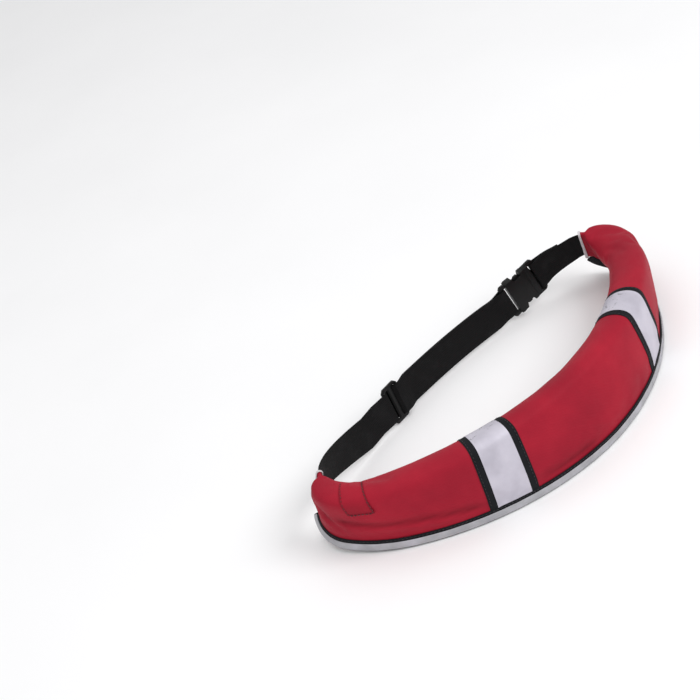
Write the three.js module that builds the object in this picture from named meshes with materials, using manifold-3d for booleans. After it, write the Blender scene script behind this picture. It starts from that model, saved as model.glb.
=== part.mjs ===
// An inflatable belt pack: a plump fabric pouch, folded along its top and bound along its bottom,
// worn round the waist on a webbing belt with a slider and a side-release buckle.
// Units are millimetres and +Z is up. The closed belt stands on the pouch's bound edge, with the pouch
// in front at -Y and the webbing behind, and the wearer's waist goes through the loop.
import * as THREE from 'three';
import { mergeVertices } from 'three/addons/utils/BufferGeometryUtils.js';
import Module from 'manifold-3d';

const wasm = await Module();
wasm.setup();

// Plan of the pouch. Each half turns through three arcs, from the front centre to its mouth.
const frontRadius = 324;
const frontTurn = 39.5;
const sideRadius = 146;
const sideTurn = 24.5;
const endRadius = 32;
const endTurn = 64.5;

// Pouch section. The crest is the fold at the top, and the seam is where the two walls meet below.
const fabricWall = 1.2;
const frontHeight = 86.5;
const endHeight = 64;
const frontSwell = 30.5;
const backSwell = 20.5;
const noseHeight = 16;
const frontLean = 38;
const mouthLean = 19;
const leanPower = 1.5;
const endFlare = 15;
const restHalfLength = 190;
const mouthRise = 4.6;
const seamCurve = 1.2;
const seamRim = 0.4;

// Ends of the pouch: the lower corner is rounded, the filling ends in a quarter ellipse, and a short
// flat neck holds the webbing.
const cornerLength = 38;
const cornerPower = 2.15;
const roundLength = 50;
const neckLength = 8;
const neckMargin = 2.4;
const neckRidge = 0.15;
const ridgeRoot = 0.05;
const mouthClearance = 0.6;

// The bound edge below the seam: fabric flange, wrapped tape and a reflective strip on its front.
const edgeHeight = 15;
const edgeTapeThickness = 1;
const edgeTapeStart = 1.2;
const stripStart = 5.5;
const stripHeight = 8.5;
const stripThickness = 0.5;
const maxEdgeTurn = 60;

// Reflective bands across the pouch.
const bandCentre = 120;
const bandBaseWidth = 52;
const bandTapeWidth = 36;
const bandBaseThickness = 0.6;
const bandTapeThickness = 0.5;
const bandSeamMargin = 1.5;

// Sewn-on tab near the left mouth, and the pale binding round each mouth.
const tabDistance = 270;
const tabLength = 27;
const tabTop = 0.05;
const tabBottom = 0.36;
const tabThickness = 1;
const tabSeat = 0.5;
const bindingWidth = 2.6;
const bindingThickness = 0.8;

// Folded bladder inside the pouch.
const bladderGap = 0.5;
const bladderSetback = 50;

// Webbing belt.
const webbingWidth = 40;
const webbingThickness = 1.8;
const webbingInside = 30;
const strapPull = 0.21;
const strapSettle = 1.45;
const strapSagPower = 1.15;
const strapLean = 9;
const sewnEndLength = 26;
const insideSteps = 6;
const insideGrowth = 1.25;
const layerRun = 14;
const straightLead = 4;
const straightenOver = 30;

// Side-release buckle and slider.
const buckleAt = 79;
const buckleWidth = 52;
const buckleThickness = 10;
const bucklePlateThickness = 4;
const socketLength = 30;
const baseLength = 8;
const barLength = 5;
const slotLength = 5;
const windowFrom = 7;
const windowTo = 17;
const windowDepth = 5;
const windowSlope = 2;
const prongWidth = 5;
const prongEnd = 20;
const prongThickness = 4;
const guideHalf = 4;
const guideShort = 4;
const barbInset = 1;
const shoulderInset = 2;
const buckleCorner = 3;
const socketRoof = 1.5;
const collarLength = 2;
const collarInset = 1;
const sliderAt = 326;
const sliderLength = 28;
const sliderWidth = 50;
const sliderThickness = 3;
const sliderOuterBar = 4;
const sliderCentreBar = 5;
const slotMargin = 0.6;
const sliderCorner = 4;
const sliderLead = 8;
const hookStep = 2.3;

// Clearance between pieces, and how finely the curved walls are divided.
const gap = 0.35;
const noseSteps = 4;
const wallSteps = 5;
const bodyStep = 22;
const endSteps = 9;
const turnSteps = 2;
const strapStep = 14;
const tipMargin = 0.02;
const probe = 0.5;

const fabricRed = 0xa5243a;
const bindingBlack = 0x20232a;
const reflectiveSilver = 0xcfcbd6;
const stripGrey = 0xa9a9ad;
const hemPale = 0xd9d6da;
const webbingBlack = 0x1e1e1f;
const plasticBlack = 0x19191a;
const bladderOrange = 0xd9692b;

// Shallow folds of the front wall. at and reach are shares of the half length, level and spread are
// shares of the wall's height from crest to seam, and depth is a share of the front swell.
const FOLDS = [
  { at: -0.72, reach: 0.2, level: 0.8, spread: 0.07, depth: 0.05 },
  { at: -0.5, reach: 0.13, level: 0.72, spread: 0.08, depth: 0.04 },
  { at: 0.12, reach: 0.16, level: 0.84, spread: 0.06, depth: 0.05 },
  { at: 0.66, reach: 0.12, level: 0.7, spread: 0.09, depth: 0.05 },
  { at: -0.93, reach: 0.035, level: 0.55, spread: 0.16, depth: 0.09 },
  { at: 0.93, reach: 0.035, level: 0.5, spread: 0.16, depth: 0.09 },
];

const ARCS = [
  { radius: frontRadius, turn: THREE.MathUtils.degToRad(frontTurn) },
  { radius: sideRadius, turn: THREE.MathUtils.degToRad(sideTurn) },
  { radius: endRadius, turn: THREE.MathUtils.degToRad(endTurn) },
];
const halfLength = ARCS.reduce((sum, arc) => sum + arc.radius * arc.turn, 0);
const edgeEnd = halfLength - neckLength;
const mouthHeight = webbingWidth + 2 * (fabricWall + neckMargin);
const mouthHalfDepth = fabricWall + mouthClearance + webbingThickness / 2;
const flangeHeight = edgeHeight - edgeTapeThickness - gap;
const edgeTapeHalf = fabricWall + gap + edgeTapeThickness;
const UP = new THREE.Vector3(0, 0, 1);

const share = (value, from, to) => THREE.MathUtils.clamp((value - from) / (to - from), 0, 1);
const mix = THREE.MathUtils.lerp;
const point = (origin, ...terms) => {
  const sum = origin.clone();
  for (const [direction, length] of terms) {
    sum.addScaledVector(direction, length);
  }
  return sum;
};

// The plan position and heading at a signed distance along the crest from the front centre.
function planPoint(distance) {
  const side = distance < 0 ? -1 : 1;
  let left = Math.abs(distance);
  let x = 0;
  let y = 0;
  let heading = 0;
  for (const arc of ARCS) {
    const run = Math.min(left, arc.radius * arc.turn);
    const next = heading + run / arc.radius;
    x += arc.radius * (Math.sin(next) - Math.sin(heading));
    y += arc.radius * (Math.cos(heading) - Math.cos(next));
    heading = next;
    left -= run;
  }
  x += left * Math.cos(heading);
  y += left * Math.sin(heading);
  return { x: side * x, y, heading: side * heading };
}

// Height of the wall from crest to seam: it narrows a little towards the ends, then rounds its lower
// corner down to the neck.
function bodyHeight(distance) {
  const reach = share(Math.abs(distance), 0, edgeEnd - cornerLength);
  return mix(frontHeight, endHeight, reach ** 2);
}

function wallHeight(distance, inset = 0) {
  const corner = share(Math.abs(distance), edgeEnd - cornerLength, edgeEnd - inset);
  const kept = (1 - corner ** cornerPower) ** (1 / cornerPower);
  return mix(mouthHeight, bodyHeight(distance), kept);
}

// Everything a section of the pouch needs: its crest and directions, heights, swell and edge direction.
// The cavity's rounded ends stop short of the outer ones by the inset.
function section(distance, inset = 0) {
  const plan = planPoint(distance);
  const away = Math.abs(distance);
  const reach = share(away, 0, halfLength);
  const lean = THREE.MathUtils.degToRad(mix(frontLean, mouthLean, reach ** leanPower));
  const outward = new THREE.Vector3(Math.sin(plan.heading), -Math.cos(plan.heading), 0);
  const along = new THREE.Vector3(Math.cos(plan.heading), Math.sin(plan.heading), 0);
  const down = outward.clone().multiplyScalar(Math.sin(lean)).addScaledVector(UP, -Math.cos(lean));
  const out = outward.clone().multiplyScalar(Math.cos(lean)).addScaledVector(UP, Math.sin(lean));
  const rise = mouthRise * share(away, restHalfLength, halfLength) ** 2;
  const crestHeight = rise + edgeHeight + bodyHeight(distance) * Math.cos(lean);
  const crest = new THREE.Vector3(plan.x, plan.y, crestHeight);
  const height = wallHeight(distance, inset);
  const fullness = share(edgeEnd - inset - away, 0, roundLength - inset);
  const swell = Math.sqrt(1 - (1 - fullness) ** 2);
  const steepness = (wallHeight(distance - probe) - wallHeight(distance + probe)) / (2 * probe);
  const maxTurn = THREE.MathUtils.degToRad(maxEdgeTurn);
  const turn = THREE.MathUtils.clamp(Math.atan(steepness), -maxTurn, maxTurn);
  const straight = UP.clone().multiplyScalar(-Math.cos(turn)).addScaledVector(along, Math.sin(turn));
  const flare = THREE.MathUtils.degToRad(endFlare * reach ** 3);
  const edgeDown = point(new THREE.Vector3(), [straight, Math.cos(flare)], [outward, Math.sin(flare)]);
  const edgeOut = point(new THREE.Vector3(), [outward, Math.cos(flare)], [straight, -Math.sin(flare)]);
  return {
    distance,
    crest,
    along,
    down,
    out,
    height,
    edgeDown: away < edgeEnd ? edgeDown : down,
    edgeOut: away < edgeEnd ? edgeOut : out,
    flangeLength: away < edgeEnd ? flangeHeight : neckRidge,
    frontDepth: mix(mouthHalfDepth, frontSwell, swell),
    backDepth: mix(mouthHalfDepth, backSwell, swell),
    seamHalf: mix(mouthHalfDepth, fabricWall, Math.sqrt(swell)),
    nose: mix(mouthHalfDepth, noseHeight, swell),
    seam: point(crest, [down, height]),
  };
}

function foldDepth(distance, level) {
  let depth = 0;
  for (const fold of FOLDS) {
    const beside = (distance / halfLength - fold.at) / fold.reach;
    const above = (level - fold.level) / fold.spread;
    depth += fold.depth * Math.exp(-(beside ** 2) - above ** 2);
  }
  return depth;
}

// One wall's profile from crest to seam as { drop, depth } pairs. A positive inset gives the surface
// that far inside the wall's outer face, and a negative one a surface outside it.
function wallProfile(cut, front, inset, bottomMargin = 0) {
  const half = front ? cut.frontDepth : cut.backDepth;
  const profile = [];
  for (let i = 0; i <= noseSteps; i++) {
    const turn = (Math.PI / 2) * (i / noseSteps);
    const drop = cut.nose - (cut.nose - inset) * Math.cos(turn);
    profile.push({ drop, depth: (half - inset) * Math.sin(turn) });
  }
  const fall = cut.height - cut.nose;
  const meeting = ((half - inset - seamRim) / (half - cut.seamHalf)) ** (1 / seamCurve);
  const wallEnd = 1 - (Math.max(inset, 0) + bottomMargin) / fall;
  const last = inset === 0 ? 1 : Math.min(half > cut.seamHalf ? meeting : 1, wallEnd);
  for (let i = 1; i <= wallSteps; i++) {
    const down = last * (i / wallSteps);
    const depth = cut.seamHalf + (half - cut.seamHalf) * (1 - down ** seamCurve) - inset;
    profile.push({ drop: cut.nose + fall * down, depth });
  }
  if (front) {
    for (const row of profile.slice(1)) {
      row.depth -= half * foldDepth(cut.distance, row.drop / cut.height);
    }
  }
  return profile;
}

const wallPoint = (cut, drop, depth) => point(cut.crest, [cut.down, drop], [cut.out, depth]);
const edgePoint = (cut, drop, depth) => point(cut.seam, [cut.edgeDown, drop], [cut.edgeOut, depth]);

// A closed outline round the pouch at one section, front side first, with or without the flange.
function pouchRing(cut, inset, flange) {
  const front = wallProfile(cut, true, inset);
  const back = wallProfile(cut, false, inset);
  const ring = front.map((row) => wallPoint(cut, row.drop, row.depth));
  if (flange) {
    const length = cut.flangeLength;
    const root = length * ridgeRoot;
    for (const [drop, half] of [[root, 1], [length, 1], [length, -1], [root, -1]]) {
      ring.push(edgePoint(cut, drop, half * fabricWall));
    }
  }
  for (const row of back.slice(1).reverse()) {
    ring.push(wallPoint(cut, row.drop, -row.depth));
  }
  return ring;
}

// A closed solid through rings of equal size, with each end closed by a flat fan of its own outline.
function loft(rings) {
  const count = rings[0].length;
  const positions = rings.flat().flatMap((corner) => corner.toArray());
  const faces = [];
  for (let i = 0; i + 1 < rings.length; i++) {
    for (let j = 0; j < count; j++) {
      const next = (j + 1) % count;
      const a = i * count + j;
      const b = i * count + next;
      faces.push([a, b, a + count], [b, b + count, a + count]);
    }
  }
  const lastStart = (rings.length - 1) * count;
  for (const face of capFaces(rings[0])) {
    faces.push([face[2], face[1], face[0]]);
  }
  for (const face of capFaces(rings[rings.length - 1])) {
    faces.push(face.map((corner) => corner + lastStart));
  }
  return outwardGeometry(positions, faces);
}

// Triangles of one end outline, found in the outline's own plane.
function capFaces(ring) {
  const middle = ring.reduce((sum, corner) => sum.add(corner), new THREE.Vector3()).divideScalar(ring.length);
  const normal = new THREE.Vector3();
  ring.forEach((corner, i) => {
    const here = corner.clone().sub(middle);
    const next = ring[(i + 1) % ring.length].clone().sub(middle);
    normal.add(here.cross(next));
  });
  normal.normalize();
  const across = ring[0].clone().sub(middle);
  across.addScaledVector(normal, -across.dot(normal)).normalize();
  const upwards = normal.clone().cross(across);
  const flat = ring.map((corner) => {
    const arm = corner.clone().sub(middle);
    return new THREE.Vector2(arm.dot(across), arm.dot(upwards));
  });
  return THREE.ShapeUtils.triangulateShape(flat, []);
}

function outwardGeometry(positions, faces) {
  const at = (index) => new THREE.Vector3().fromArray(positions, 3 * index);
  let volume = 0;
  for (const [a, b, c] of faces) {
    volume += at(a).dot(at(b).cross(at(c)));
  }
  const turned = volume > 0 ? faces : faces.map(([a, b, c]) => [a, c, b]);
  const geometry = new THREE.BufferGeometry();
  geometry.setAttribute('position', new THREE.Float32BufferAttribute(positions, 3));
  geometry.setIndex(turned.flat());
  return geometry;
}

// Boolean work between closed geometries.
function toSolid(geometry) {
  const bare = geometry.clone();
  bare.deleteAttribute('normal');
  bare.deleteAttribute('uv');
  const merged = mergeVertices(bare);
  return new wasm.Manifold(new wasm.Mesh({
    numProp: 3,
    vertProperties: merged.attributes.position.array,
    triVerts: new Uint32Array(merged.index.array),
  }));
}

function toGeometry(solid) {
  const mesh = solid.getMesh();
  const geometry = new THREE.BufferGeometry();
  geometry.setAttribute('position', new THREE.Float32BufferAttribute(mesh.vertProperties, 3));
  geometry.setIndex(Array.from(mesh.triVerts));
  return geometry;
}

// Distances of the pouch's sections for one half, with the bands' edges among them.
function halfStations(limit) {
  const bandEdges = [bandBaseWidth, bandTapeWidth, 0, -bandTapeWidth, -bandBaseWidth];
  const distances = bandEdges.map((width) => bandCentre - width / 2);
  const nearBand = bandBaseWidth / 2 + bodyStep / 4;
  const bodyEnd = edgeEnd - roundLength;
  const bodyCount = Math.ceil(bodyEnd / bodyStep);
  for (let i = 0; i <= bodyCount; i++) {
    const distance = bodyEnd * (i / bodyCount);
    if (Math.abs(distance - bandCentre) > nearBand) {
      distances.push(distance);
    }
  }
  for (let i = 1; i <= endSteps; i++) {
    const turn = (Math.PI / 2) * (i / endSteps);
    distances.push(bodyEnd + (roundLength - tipMargin) * Math.sin(turn));
  }
  distances.push(edgeEnd + neckLength / 8, edgeEnd + neckLength / 2, halfLength);
  return distances.filter((distance) => distance <= limit).sort((a, b) => a - b);
}

function stations(limit = halfLength) {
  const half = halfStations(limit);
  const mirrored = half.slice(1).map((distance) => -distance).reverse();
  return mirrored.concat(half);
}

function makePouchShell() {
  const outer = loft(stations().map((distance) => pouchRing(section(distance), 0, true)));
  const openEnd = halfLength + fabricWall;
  const through = [-openEnd, ...stations().slice(1, -1), openEnd];
  const rings = through.map((distance) => pouchRing(section(distance, fabricWall), fabricWall, false));
  return toGeometry(toSolid(outer).subtract(toSolid(loft(rings))));
}

function makeBladder() {
  const cuts = stations(halfLength - bladderSetback);
  const inset = fabricWall + bladderGap;
  return loft(cuts.map((distance) => pouchRing(section(distance, inset), inset, false)));
}

const edgeSections = () => stations(edgeEnd).map((distance) => section(distance));

function makeEdgeTape() {
  const innerHalf = fabricWall + gap;
  const innerDrop = flangeHeight + gap;
  const outline = [
    [edgeTapeStart, -edgeTapeHalf],
    [edgeTapeStart, -innerHalf],
    [innerDrop, -innerHalf],
    [innerDrop, innerHalf],
    [edgeTapeStart, innerHalf],
    [edgeTapeStart, edgeTapeHalf],
    [edgeHeight, edgeTapeHalf],
    [edgeHeight, -edgeTapeHalf],
  ];
  return loft(edgeSections().map((cut) => outline.map(([drop, depth]) => edgePoint(cut, drop, depth))));
}

function makeEdgeStrip() {
  const inner = edgeTapeHalf + gap;
  const outer = inner + stripThickness;
  const end = stripStart + stripHeight;
  const outline = [[stripStart, inner], [stripStart, outer], [end, outer], [end, inner]];
  return loft(edgeSections().map((cut) => outline.map(([drop, depth]) => edgePoint(cut, drop, depth))));
}

// A thin skin laid over the pouch between two distances, from the front seam over the crest to the
// back seam.
function wrappedBand(cuts, inset, thickness) {
  const layer = (cut, depth) => {
    const front = wallProfile(cut, true, -depth, bandSeamMargin).slice(1).reverse();
    const back = wallProfile(cut, false, -depth, bandSeamMargin);
    return [
      ...front.map((row) => wallPoint(cut, row.drop, row.depth)),
      ...back.map((row) => wallPoint(cut, row.drop, -row.depth)),
    ];
  };
  return loft(cuts.map((cut) => [...layer(cut, inset), ...layer(cut, inset + thickness).reverse()]));
}

function makeBand(side, width, inset, thickness) {
  const cuts = stations()
    .filter((distance) => Math.abs(distance - side * bandCentre) < width / 2 + gap)
    .map((distance) => section(distance));
  return wrappedBand(cuts, inset, thickness);
}

// The sewn-on tab follows the front wall between two levels of its height.
function makeEndTab() {
  const centre = -tabDistance;
  const ends = [centre - tabLength / 2, centre + tabLength / 2];
  const between = stations().filter((distance) => distance > ends[0] + gap && distance < ends[1] - gap);
  const cuts = [ends[0], ...between, ends[1]].map((distance) => section(distance));
  const middle = section(centre);
  const profile = wallProfile(middle, true, 0);
  const rowAt = (drop) => {
    const upper = profile.findLastIndex((row) => row.drop <= drop);
    return upper + share(drop, profile[upper].drop, profile[upper + 1].drop);
  };
  const first = rowAt(tabTop * middle.height);
  const last = rowAt(tabBottom * middle.height);
  const rows = [first, last];
  for (let row = Math.floor(first) + 1; row < last; row++) {
    rows.push(row);
  }
  rows.sort((a, b) => a - b);
  const layer = (cut, offset) => {
    const line = wallProfile(cut, true, -offset);
    return rows.map((row) => {
      const upper = line[Math.floor(row)];
      const lower = line[Math.ceil(row)];
      const part = row % 1;
      return wallPoint(cut, mix(upper.drop, lower.drop, part), mix(upper.depth, lower.depth, part));
    });
  };
  return loft(cuts.map((cut) => [...layer(cut, tabSeat), ...layer(cut, tabSeat + tabThickness).reverse()]));
}

function makeMouthBinding(side) {
  const ends = [side * (halfLength - bindingWidth), side * halfLength];
  const outer = loft(ends.map((distance) => pouchRing(section(distance), -gap - bindingThickness, false)));
  const innerEnds = [ends[0] - side * fabricWall, ends[1] + side * fabricWall];
  const inner = loft(innerEnds.map((distance) => pouchRing(section(distance), -gap, false)));
  return toGeometry(toSolid(outer).subtract(toSolid(inner)));
}

// The webbing's centre line between the mouths, as seen from above.
const webbingDrop = mouthHeight / 2;
const mouthCentre = (side) => {
  const cut = section(side * halfLength);
  return { centre: wallPoint(cut, webbingDrop, 0), along: cut.along, up: cut.down.clone().negate() };
};
const rightMouth = mouthCentre(1);
const leftMouth = mouthCentre(-1);
const mouthSpan = rightMouth.centre.distanceTo(leftMouth.centre);
const flatten = (corner) => new THREE.Vector3(corner.x, corner.y, 0);
const strapPlan = new THREE.CubicBezierCurve3(
  flatten(rightMouth.centre),
  flatten(point(rightMouth.centre, [rightMouth.along, strapPull * mouthSpan])),
  flatten(point(leftMouth.centre, [leftMouth.along, -strapPull * mouthSpan])),
  flatten(leftMouth.centre),
);
const strapLength = strapPlan.getLength();

// The webbing leaves each mouth and settles until the slider's lower edge stands on the surface, where
// its upper edge leans outward a little.
const strapTilt = THREE.MathUtils.degToRad(strapLean);
const settledHeight = (sliderWidth / 2) * Math.cos(strapTilt) + (sliderThickness / 2) * Math.sin(strapTilt);

function strapCentre(distance) {
  const part = THREE.MathUtils.clamp(distance / strapLength, 0, 1);
  const settled = Math.min(1, strapSettle * Math.sin(Math.PI * part) ** strapSagPower);
  const centre = strapPlan.getPointAt(part);
  centre.z = mix(rightMouth.centre.z, settledHeight, settled);
  return { centre, settled, part };
}

function freeFrame(distance) {
  const { centre, settled, part } = strapCentre(distance);
  const ahead = strapCentre(Math.min(distance + 2 * probe, strapLength)).centre;
  const behind = strapCentre(Math.max(distance - 2 * probe, 0)).centre;
  const mouthUp = rightMouth.up.clone().lerp(leftMouth.up, part);
  const direction = ahead.sub(behind);
  const outward = new THREE.Vector3(direction.y, -direction.x, 0).normalize();
  const leaned = point(new THREE.Vector3(), [UP, Math.cos(strapTilt)], [outward, Math.sin(strapTilt)]);
  return squareFrame(centre, direction, mouthUp.lerp(leaned, settled));
}

function squareFrame(centre, direction, upwards) {
  const along = direction.clone().normalize();
  const up = upwards.clone().addScaledVector(along, -upwards.dot(along)).normalize();
  const out = along.clone().cross(up);
  return { centre, along, up, out };
}

// The webbing runs straight through each piece of hardware, and inside the pouch it follows the neck.
const buckleMiddle = (socketLength - baseLength) / 2;
const buckleReach = (socketLength + baseLength) / 2 + slotLength + barLength;
const HARDWARE = [
  { at: buckleAt + buckleMiddle, reach: buckleReach + straightLead },
  { at: sliderAt, reach: sliderLength / 2 + straightLead },
];

function webbingFrame(distance) {
  if (distance < 0 || distance > strapLength) {
    const inside = distance < 0 ? halfLength + distance : distance - strapLength - halfLength;
    const cut = section(inside);
    return squareFrame(wallPoint(cut, webbingDrop, 0), cut.along, cut.down.clone().negate());
  }
  const frame = freeFrame(distance);
  for (const { at, reach } of HARDWARE) {
    const held = freeFrame(at);
    const apart = distance - at;
    const weight = 1 - THREE.MathUtils.smoothstep(Math.abs(apart), reach, reach + straightenOver);
    frame.centre.lerp(point(held.centre, [held.along, apart]), weight);
    frame.along.lerp(held.along, weight);
    frame.up.lerp(held.up, weight);
  }
  return squareFrame(frame.centre, frame.along, frame.up);
}

// A flat ribbon along a route of { distance, offset } pairs, where offset is outward from the loop.
function ribbon(route) {
  const rings = route.map((stop, i) => {
    const before = route[Math.max(i - 1, 0)];
    const after = route[Math.min(i + 1, route.length - 1)];
    const run = new THREE.Vector2(after.distance - before.distance, after.offset - before.offset).normalize();
    const frame = webbingFrame(stop.distance);
    const centre = point(frame.centre, [frame.out, stop.offset]);
    const half = webbingThickness / 2;
    const face = (side) => [[frame.along, -run.y * half * side], [frame.out, run.x * half * side]];
    return [
      point(centre, ...face(1), [frame.up, webbingWidth / 2]),
      point(centre, ...face(1), [frame.up, -webbingWidth / 2]),
      point(centre, ...face(-1), [frame.up, -webbingWidth / 2]),
      point(centre, ...face(-1), [frame.up, webbingWidth / 2]),
    ];
  });
  return loft(rings);
}

const stop = (distance, offset) => ({ distance, offset });

// The webbing's end inside the pouch, from the mouth inwards, in short steps round the pouch's end.
const insideStops = Array.from({ length: insideSteps }, (unused, i) => (
  webbingInside * ((i + 1) / insideSteps) ** insideGrowth
));

function freeRun(from, to, offset) {
  const count = Math.max(1, Math.round(Math.abs(to - from) / strapStep));
  return Array.from({ length: count + 1 }, (unused, i) => stop(mix(from, to, i / count), offset));
}

// A turn about a centre, from one angle to another, in the plane of distance and offset.
function turnAbout(distance, offset, radius, fromTurn, toTurn, count) {
  return Array.from({ length: count + 1 }, (unused, i) => {
    const angle = THREE.MathUtils.degToRad(mix(fromTurn, toTurn, i / count));
    return stop(distance + radius * Math.cos(angle), offset + radius * Math.sin(angle));
  });
}

const layerStack = webbingThickness + gap;
const layerHalf = layerStack / 2;
const wrapRadius = gap + webbingThickness / 2;

// Distances from the buckle's middle to the centre of the bar that holds each webbing end.
const socketBar = socketLength + slotLength + barLength / 2;
const baseBar = -(baseLength + slotLength + barLength / 2);
const barHalfThickness = bucklePlateThickness / 2;

// Round a buckle bar on the side away from the incoming webbing, arriving on the side named by from.
function barTurn(centre, towards, from) {
  const corner = centre + towards * (barLength / 2);
  const outermost = towards > 0 ? 0 : 180;
  const quarter = (side, fromTurn, toTurn) => (
    turnAbout(corner, side * barHalfThickness, wrapRadius, side * fromTurn, side * toTurn, turnSteps)
  );
  return quarter(from, 90, outermost).concat(quarter(-from, outermost, 90));
}

function makeFixedWebbing() {
  const bar = buckleAt + baseBar;
  const wrap = barHalfThickness + wrapRadius;
  const sewnEnd = bar - layerRun - sewnEndLength;
  return ribbon([
    ...insideStops.map((inside) => stop(-inside, 0)).reverse(),
    ...freeRun(0, sewnEnd - layerRun, 0),
    ...freeRun(sewnEnd, bar - layerRun, -layerHalf),
    stop(bar - barLength / 2, -wrap),
    ...barTurn(bar, 1, -1),
    stop(bar - barLength / 2, wrap),
    ...freeRun(bar - layerRun, sewnEnd + slotMargin, layerHalf),
  ]);
}

function makeAdjustableWebbing() {
  const bar = buckleAt + socketBar;
  const wrap = barHalfThickness + wrapRadius;
  const half = sliderThickness / 2;
  const inner = sliderCentreBar / 2;
  const outer = sliderLength / 2;
  const behind = half + wrapRadius;
  const slotEntry = outer - sliderOuterBar - slotMargin;
  const far = outer + sliderLead + layerRun;
  const near = outer + sliderLead + layerRun / 2;
  return ribbon([
    // The sewn end hooks round the slider's centre bar.
    stop(sliderAt + inner + wrapRadius, -half),
    ...turnAbout(sliderAt + inner, half, wrapRadius, 0, 90, turnSteps),
    ...turnAbout(sliderAt - inner, half, wrapRadius, 90, 180, turnSteps),
    stop(sliderAt - inner - wrapRadius, -half),
    stop(sliderAt - inner - hookStep, -behind),
    stop(sliderAt - inner - 2 * hookStep, -behind - layerStack),
    stop(sliderAt - outer - hookStep, -behind - layerStack),
    // The inner layer runs back to the buckle's bar.
    ...freeRun(sliderAt - near, bar + layerRun, -layerHalf),
    stop(bar + barLength / 2, -wrap),
    ...barTurn(bar, -1, -1),
    stop(bar + barLength / 2, wrap),
    // The outer layer runs through the slider to the left mouth.
    ...freeRun(bar + layerRun, sliderAt - near, layerHalf),
    stop(sliderAt - outer - hookStep, -behind),
    stop(sliderAt - slotEntry, -behind),
    ...turnAbout(sliderAt - inner, half, wrapRadius + layerStack, 180, 90, turnSteps),
    ...turnAbout(sliderAt + inner, half, wrapRadius + layerStack, 90, 0, turnSteps),
    stop(sliderAt + slotEntry, -behind),
    stop(sliderAt + outer + hookStep, -behind),
    ...freeRun(sliderAt + far, strapLength, 0),
    ...insideStops.map((inside) => stop(strapLength + inside, 0)),
  ]);
}

// Flat hardware outlines lie in the plane of the webbing, x along it and y across it.
function plate(outline, thickness) {
  const shape = new THREE.Shape(outline.map(([x, y]) => new THREE.Vector2(x, y)));
  const geometry = new THREE.ExtrudeGeometry(shape, { depth: thickness, bevelEnabled: false });
  geometry.translate(0, 0, -thickness / 2);
  return toSolid(geometry);
}

const mirrored = (half) => half.concat(half.map(([x, y]) => [x, -y]).reverse());
const block = (fromX, toX, halfY) => [[fromX, -halfY], [toX, -halfY], [toX, halfY], [fromX, halfY]];
const slotHalf = webbingWidth / 2 + slotMargin;
const buckleHalf = buckleWidth / 2;
const buckleShoulder = buckleHalf - shoulderInset;
const buckleWaist = buckleShoulder - windowDepth;

function makeSlider() {
  const outer = sliderLength / 2;
  const half = sliderWidth / 2;
  const outline = mirrored([
    [-outer, half - sliderCorner],
    [-outer + sliderCorner, half],
    [outer - sliderCorner, half],
    [outer, half - sliderCorner],
  ]);
  const slotFrom = sliderCentreBar / 2;
  const slotTo = outer - sliderOuterBar;
  const frontSlot = plate(block(slotFrom, slotTo, slotHalf), 2 * sliderThickness);
  const backSlot = plate(block(-slotTo, -slotFrom, slotHalf), 2 * sliderThickness);
  return toGeometry(plate(outline, sliderThickness).subtract(frontSlot).subtract(backSlot));
}

// The socket half: a hollow body with a window in each side, and a thinner tail with the webbing bar.
function makeSocket() {
  const tailEnd = socketLength + slotLength + barLength;
  const body = mirrored([
    [0, buckleShoulder],
    [windowFrom - windowSlope, buckleShoulder],
    [windowFrom, buckleWaist],
    [windowTo, buckleWaist],
    [windowTo + windowSlope, buckleHalf - barbInset],
    [socketLength - buckleCorner, buckleHalf],
    [socketLength, buckleHalf - barbInset],
  ]);
  const tail = mirrored([
    [socketLength - buckleCorner, buckleHalf - barbInset],
    [tailEnd - buckleCorner, buckleHalf],
    [tailEnd, buckleHalf - buckleCorner],
  ]);
  const slot = plate(block(socketLength, socketLength + slotLength, slotHalf), buckleThickness);
  const tailPlate = plate(tail, bucklePlateThickness);
  const cavity = block(-barbInset, prongEnd + barbInset, buckleWaist + socketRoof);
  const hollow = plate(cavity, prongThickness + 2 * gap);
  return toGeometry(plate(body, buckleThickness).add(tailPlate).subtract(hollow).subtract(slot));
}

// The prong half: a bar and base outside the socket, two sprung prongs and a centre guide inside it.
function makeProngs() {
  const start = baseBar - barLength / 2;
  const barb = buckleShoulder - barbInset;
  const prongTop = buckleWaist - barbInset;
  const outline = mirrored([
    [start, buckleHalf - buckleCorner],
    [start + buckleCorner, buckleHalf],
    [-baseLength, buckleHalf],
    [-gap, buckleShoulder],
    [-gap, prongTop],
    [windowFrom + gap, prongTop],
    [windowFrom + windowSlope, barb],
    [windowTo - windowSlope - barbInset, barb],
    [prongEnd, prongTop - barbInset],
    [prongEnd, prongTop - prongWidth],
    [-collarLength, prongTop - prongWidth],
    [-collarLength, guideHalf],
    [prongEnd - guideShort, guideHalf],
  ]);
  const slot = plate(block(baseBar + barLength / 2, -baseLength, slotHalf), buckleThickness);
  const collar = plate(block(-baseLength + gap, -gap, buckleShoulder), buckleThickness - collarInset);
  return toGeometry(plate(outline, prongThickness).add(collar).subtract(slot));
}

const finish = (color, roughness) => new THREE.MeshStandardMaterial({ color, roughness });

function named(name, geometry, material) {
  geometry.computeVertexNormals();
  const mesh = new THREE.Mesh(geometry, material);
  mesh.name = name;
  return mesh;
}

// A rigid piece drawn in the webbing's own plane is turned into place where the webbing passes it.
function onWebbing(mesh, distance) {
  const frame = webbingFrame(distance);
  mesh.position.copy(frame.centre);
  mesh.quaternion.setFromRotationMatrix(new THREE.Matrix4().makeBasis(frame.along, frame.up, frame.out));
  return mesh;
}

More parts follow.
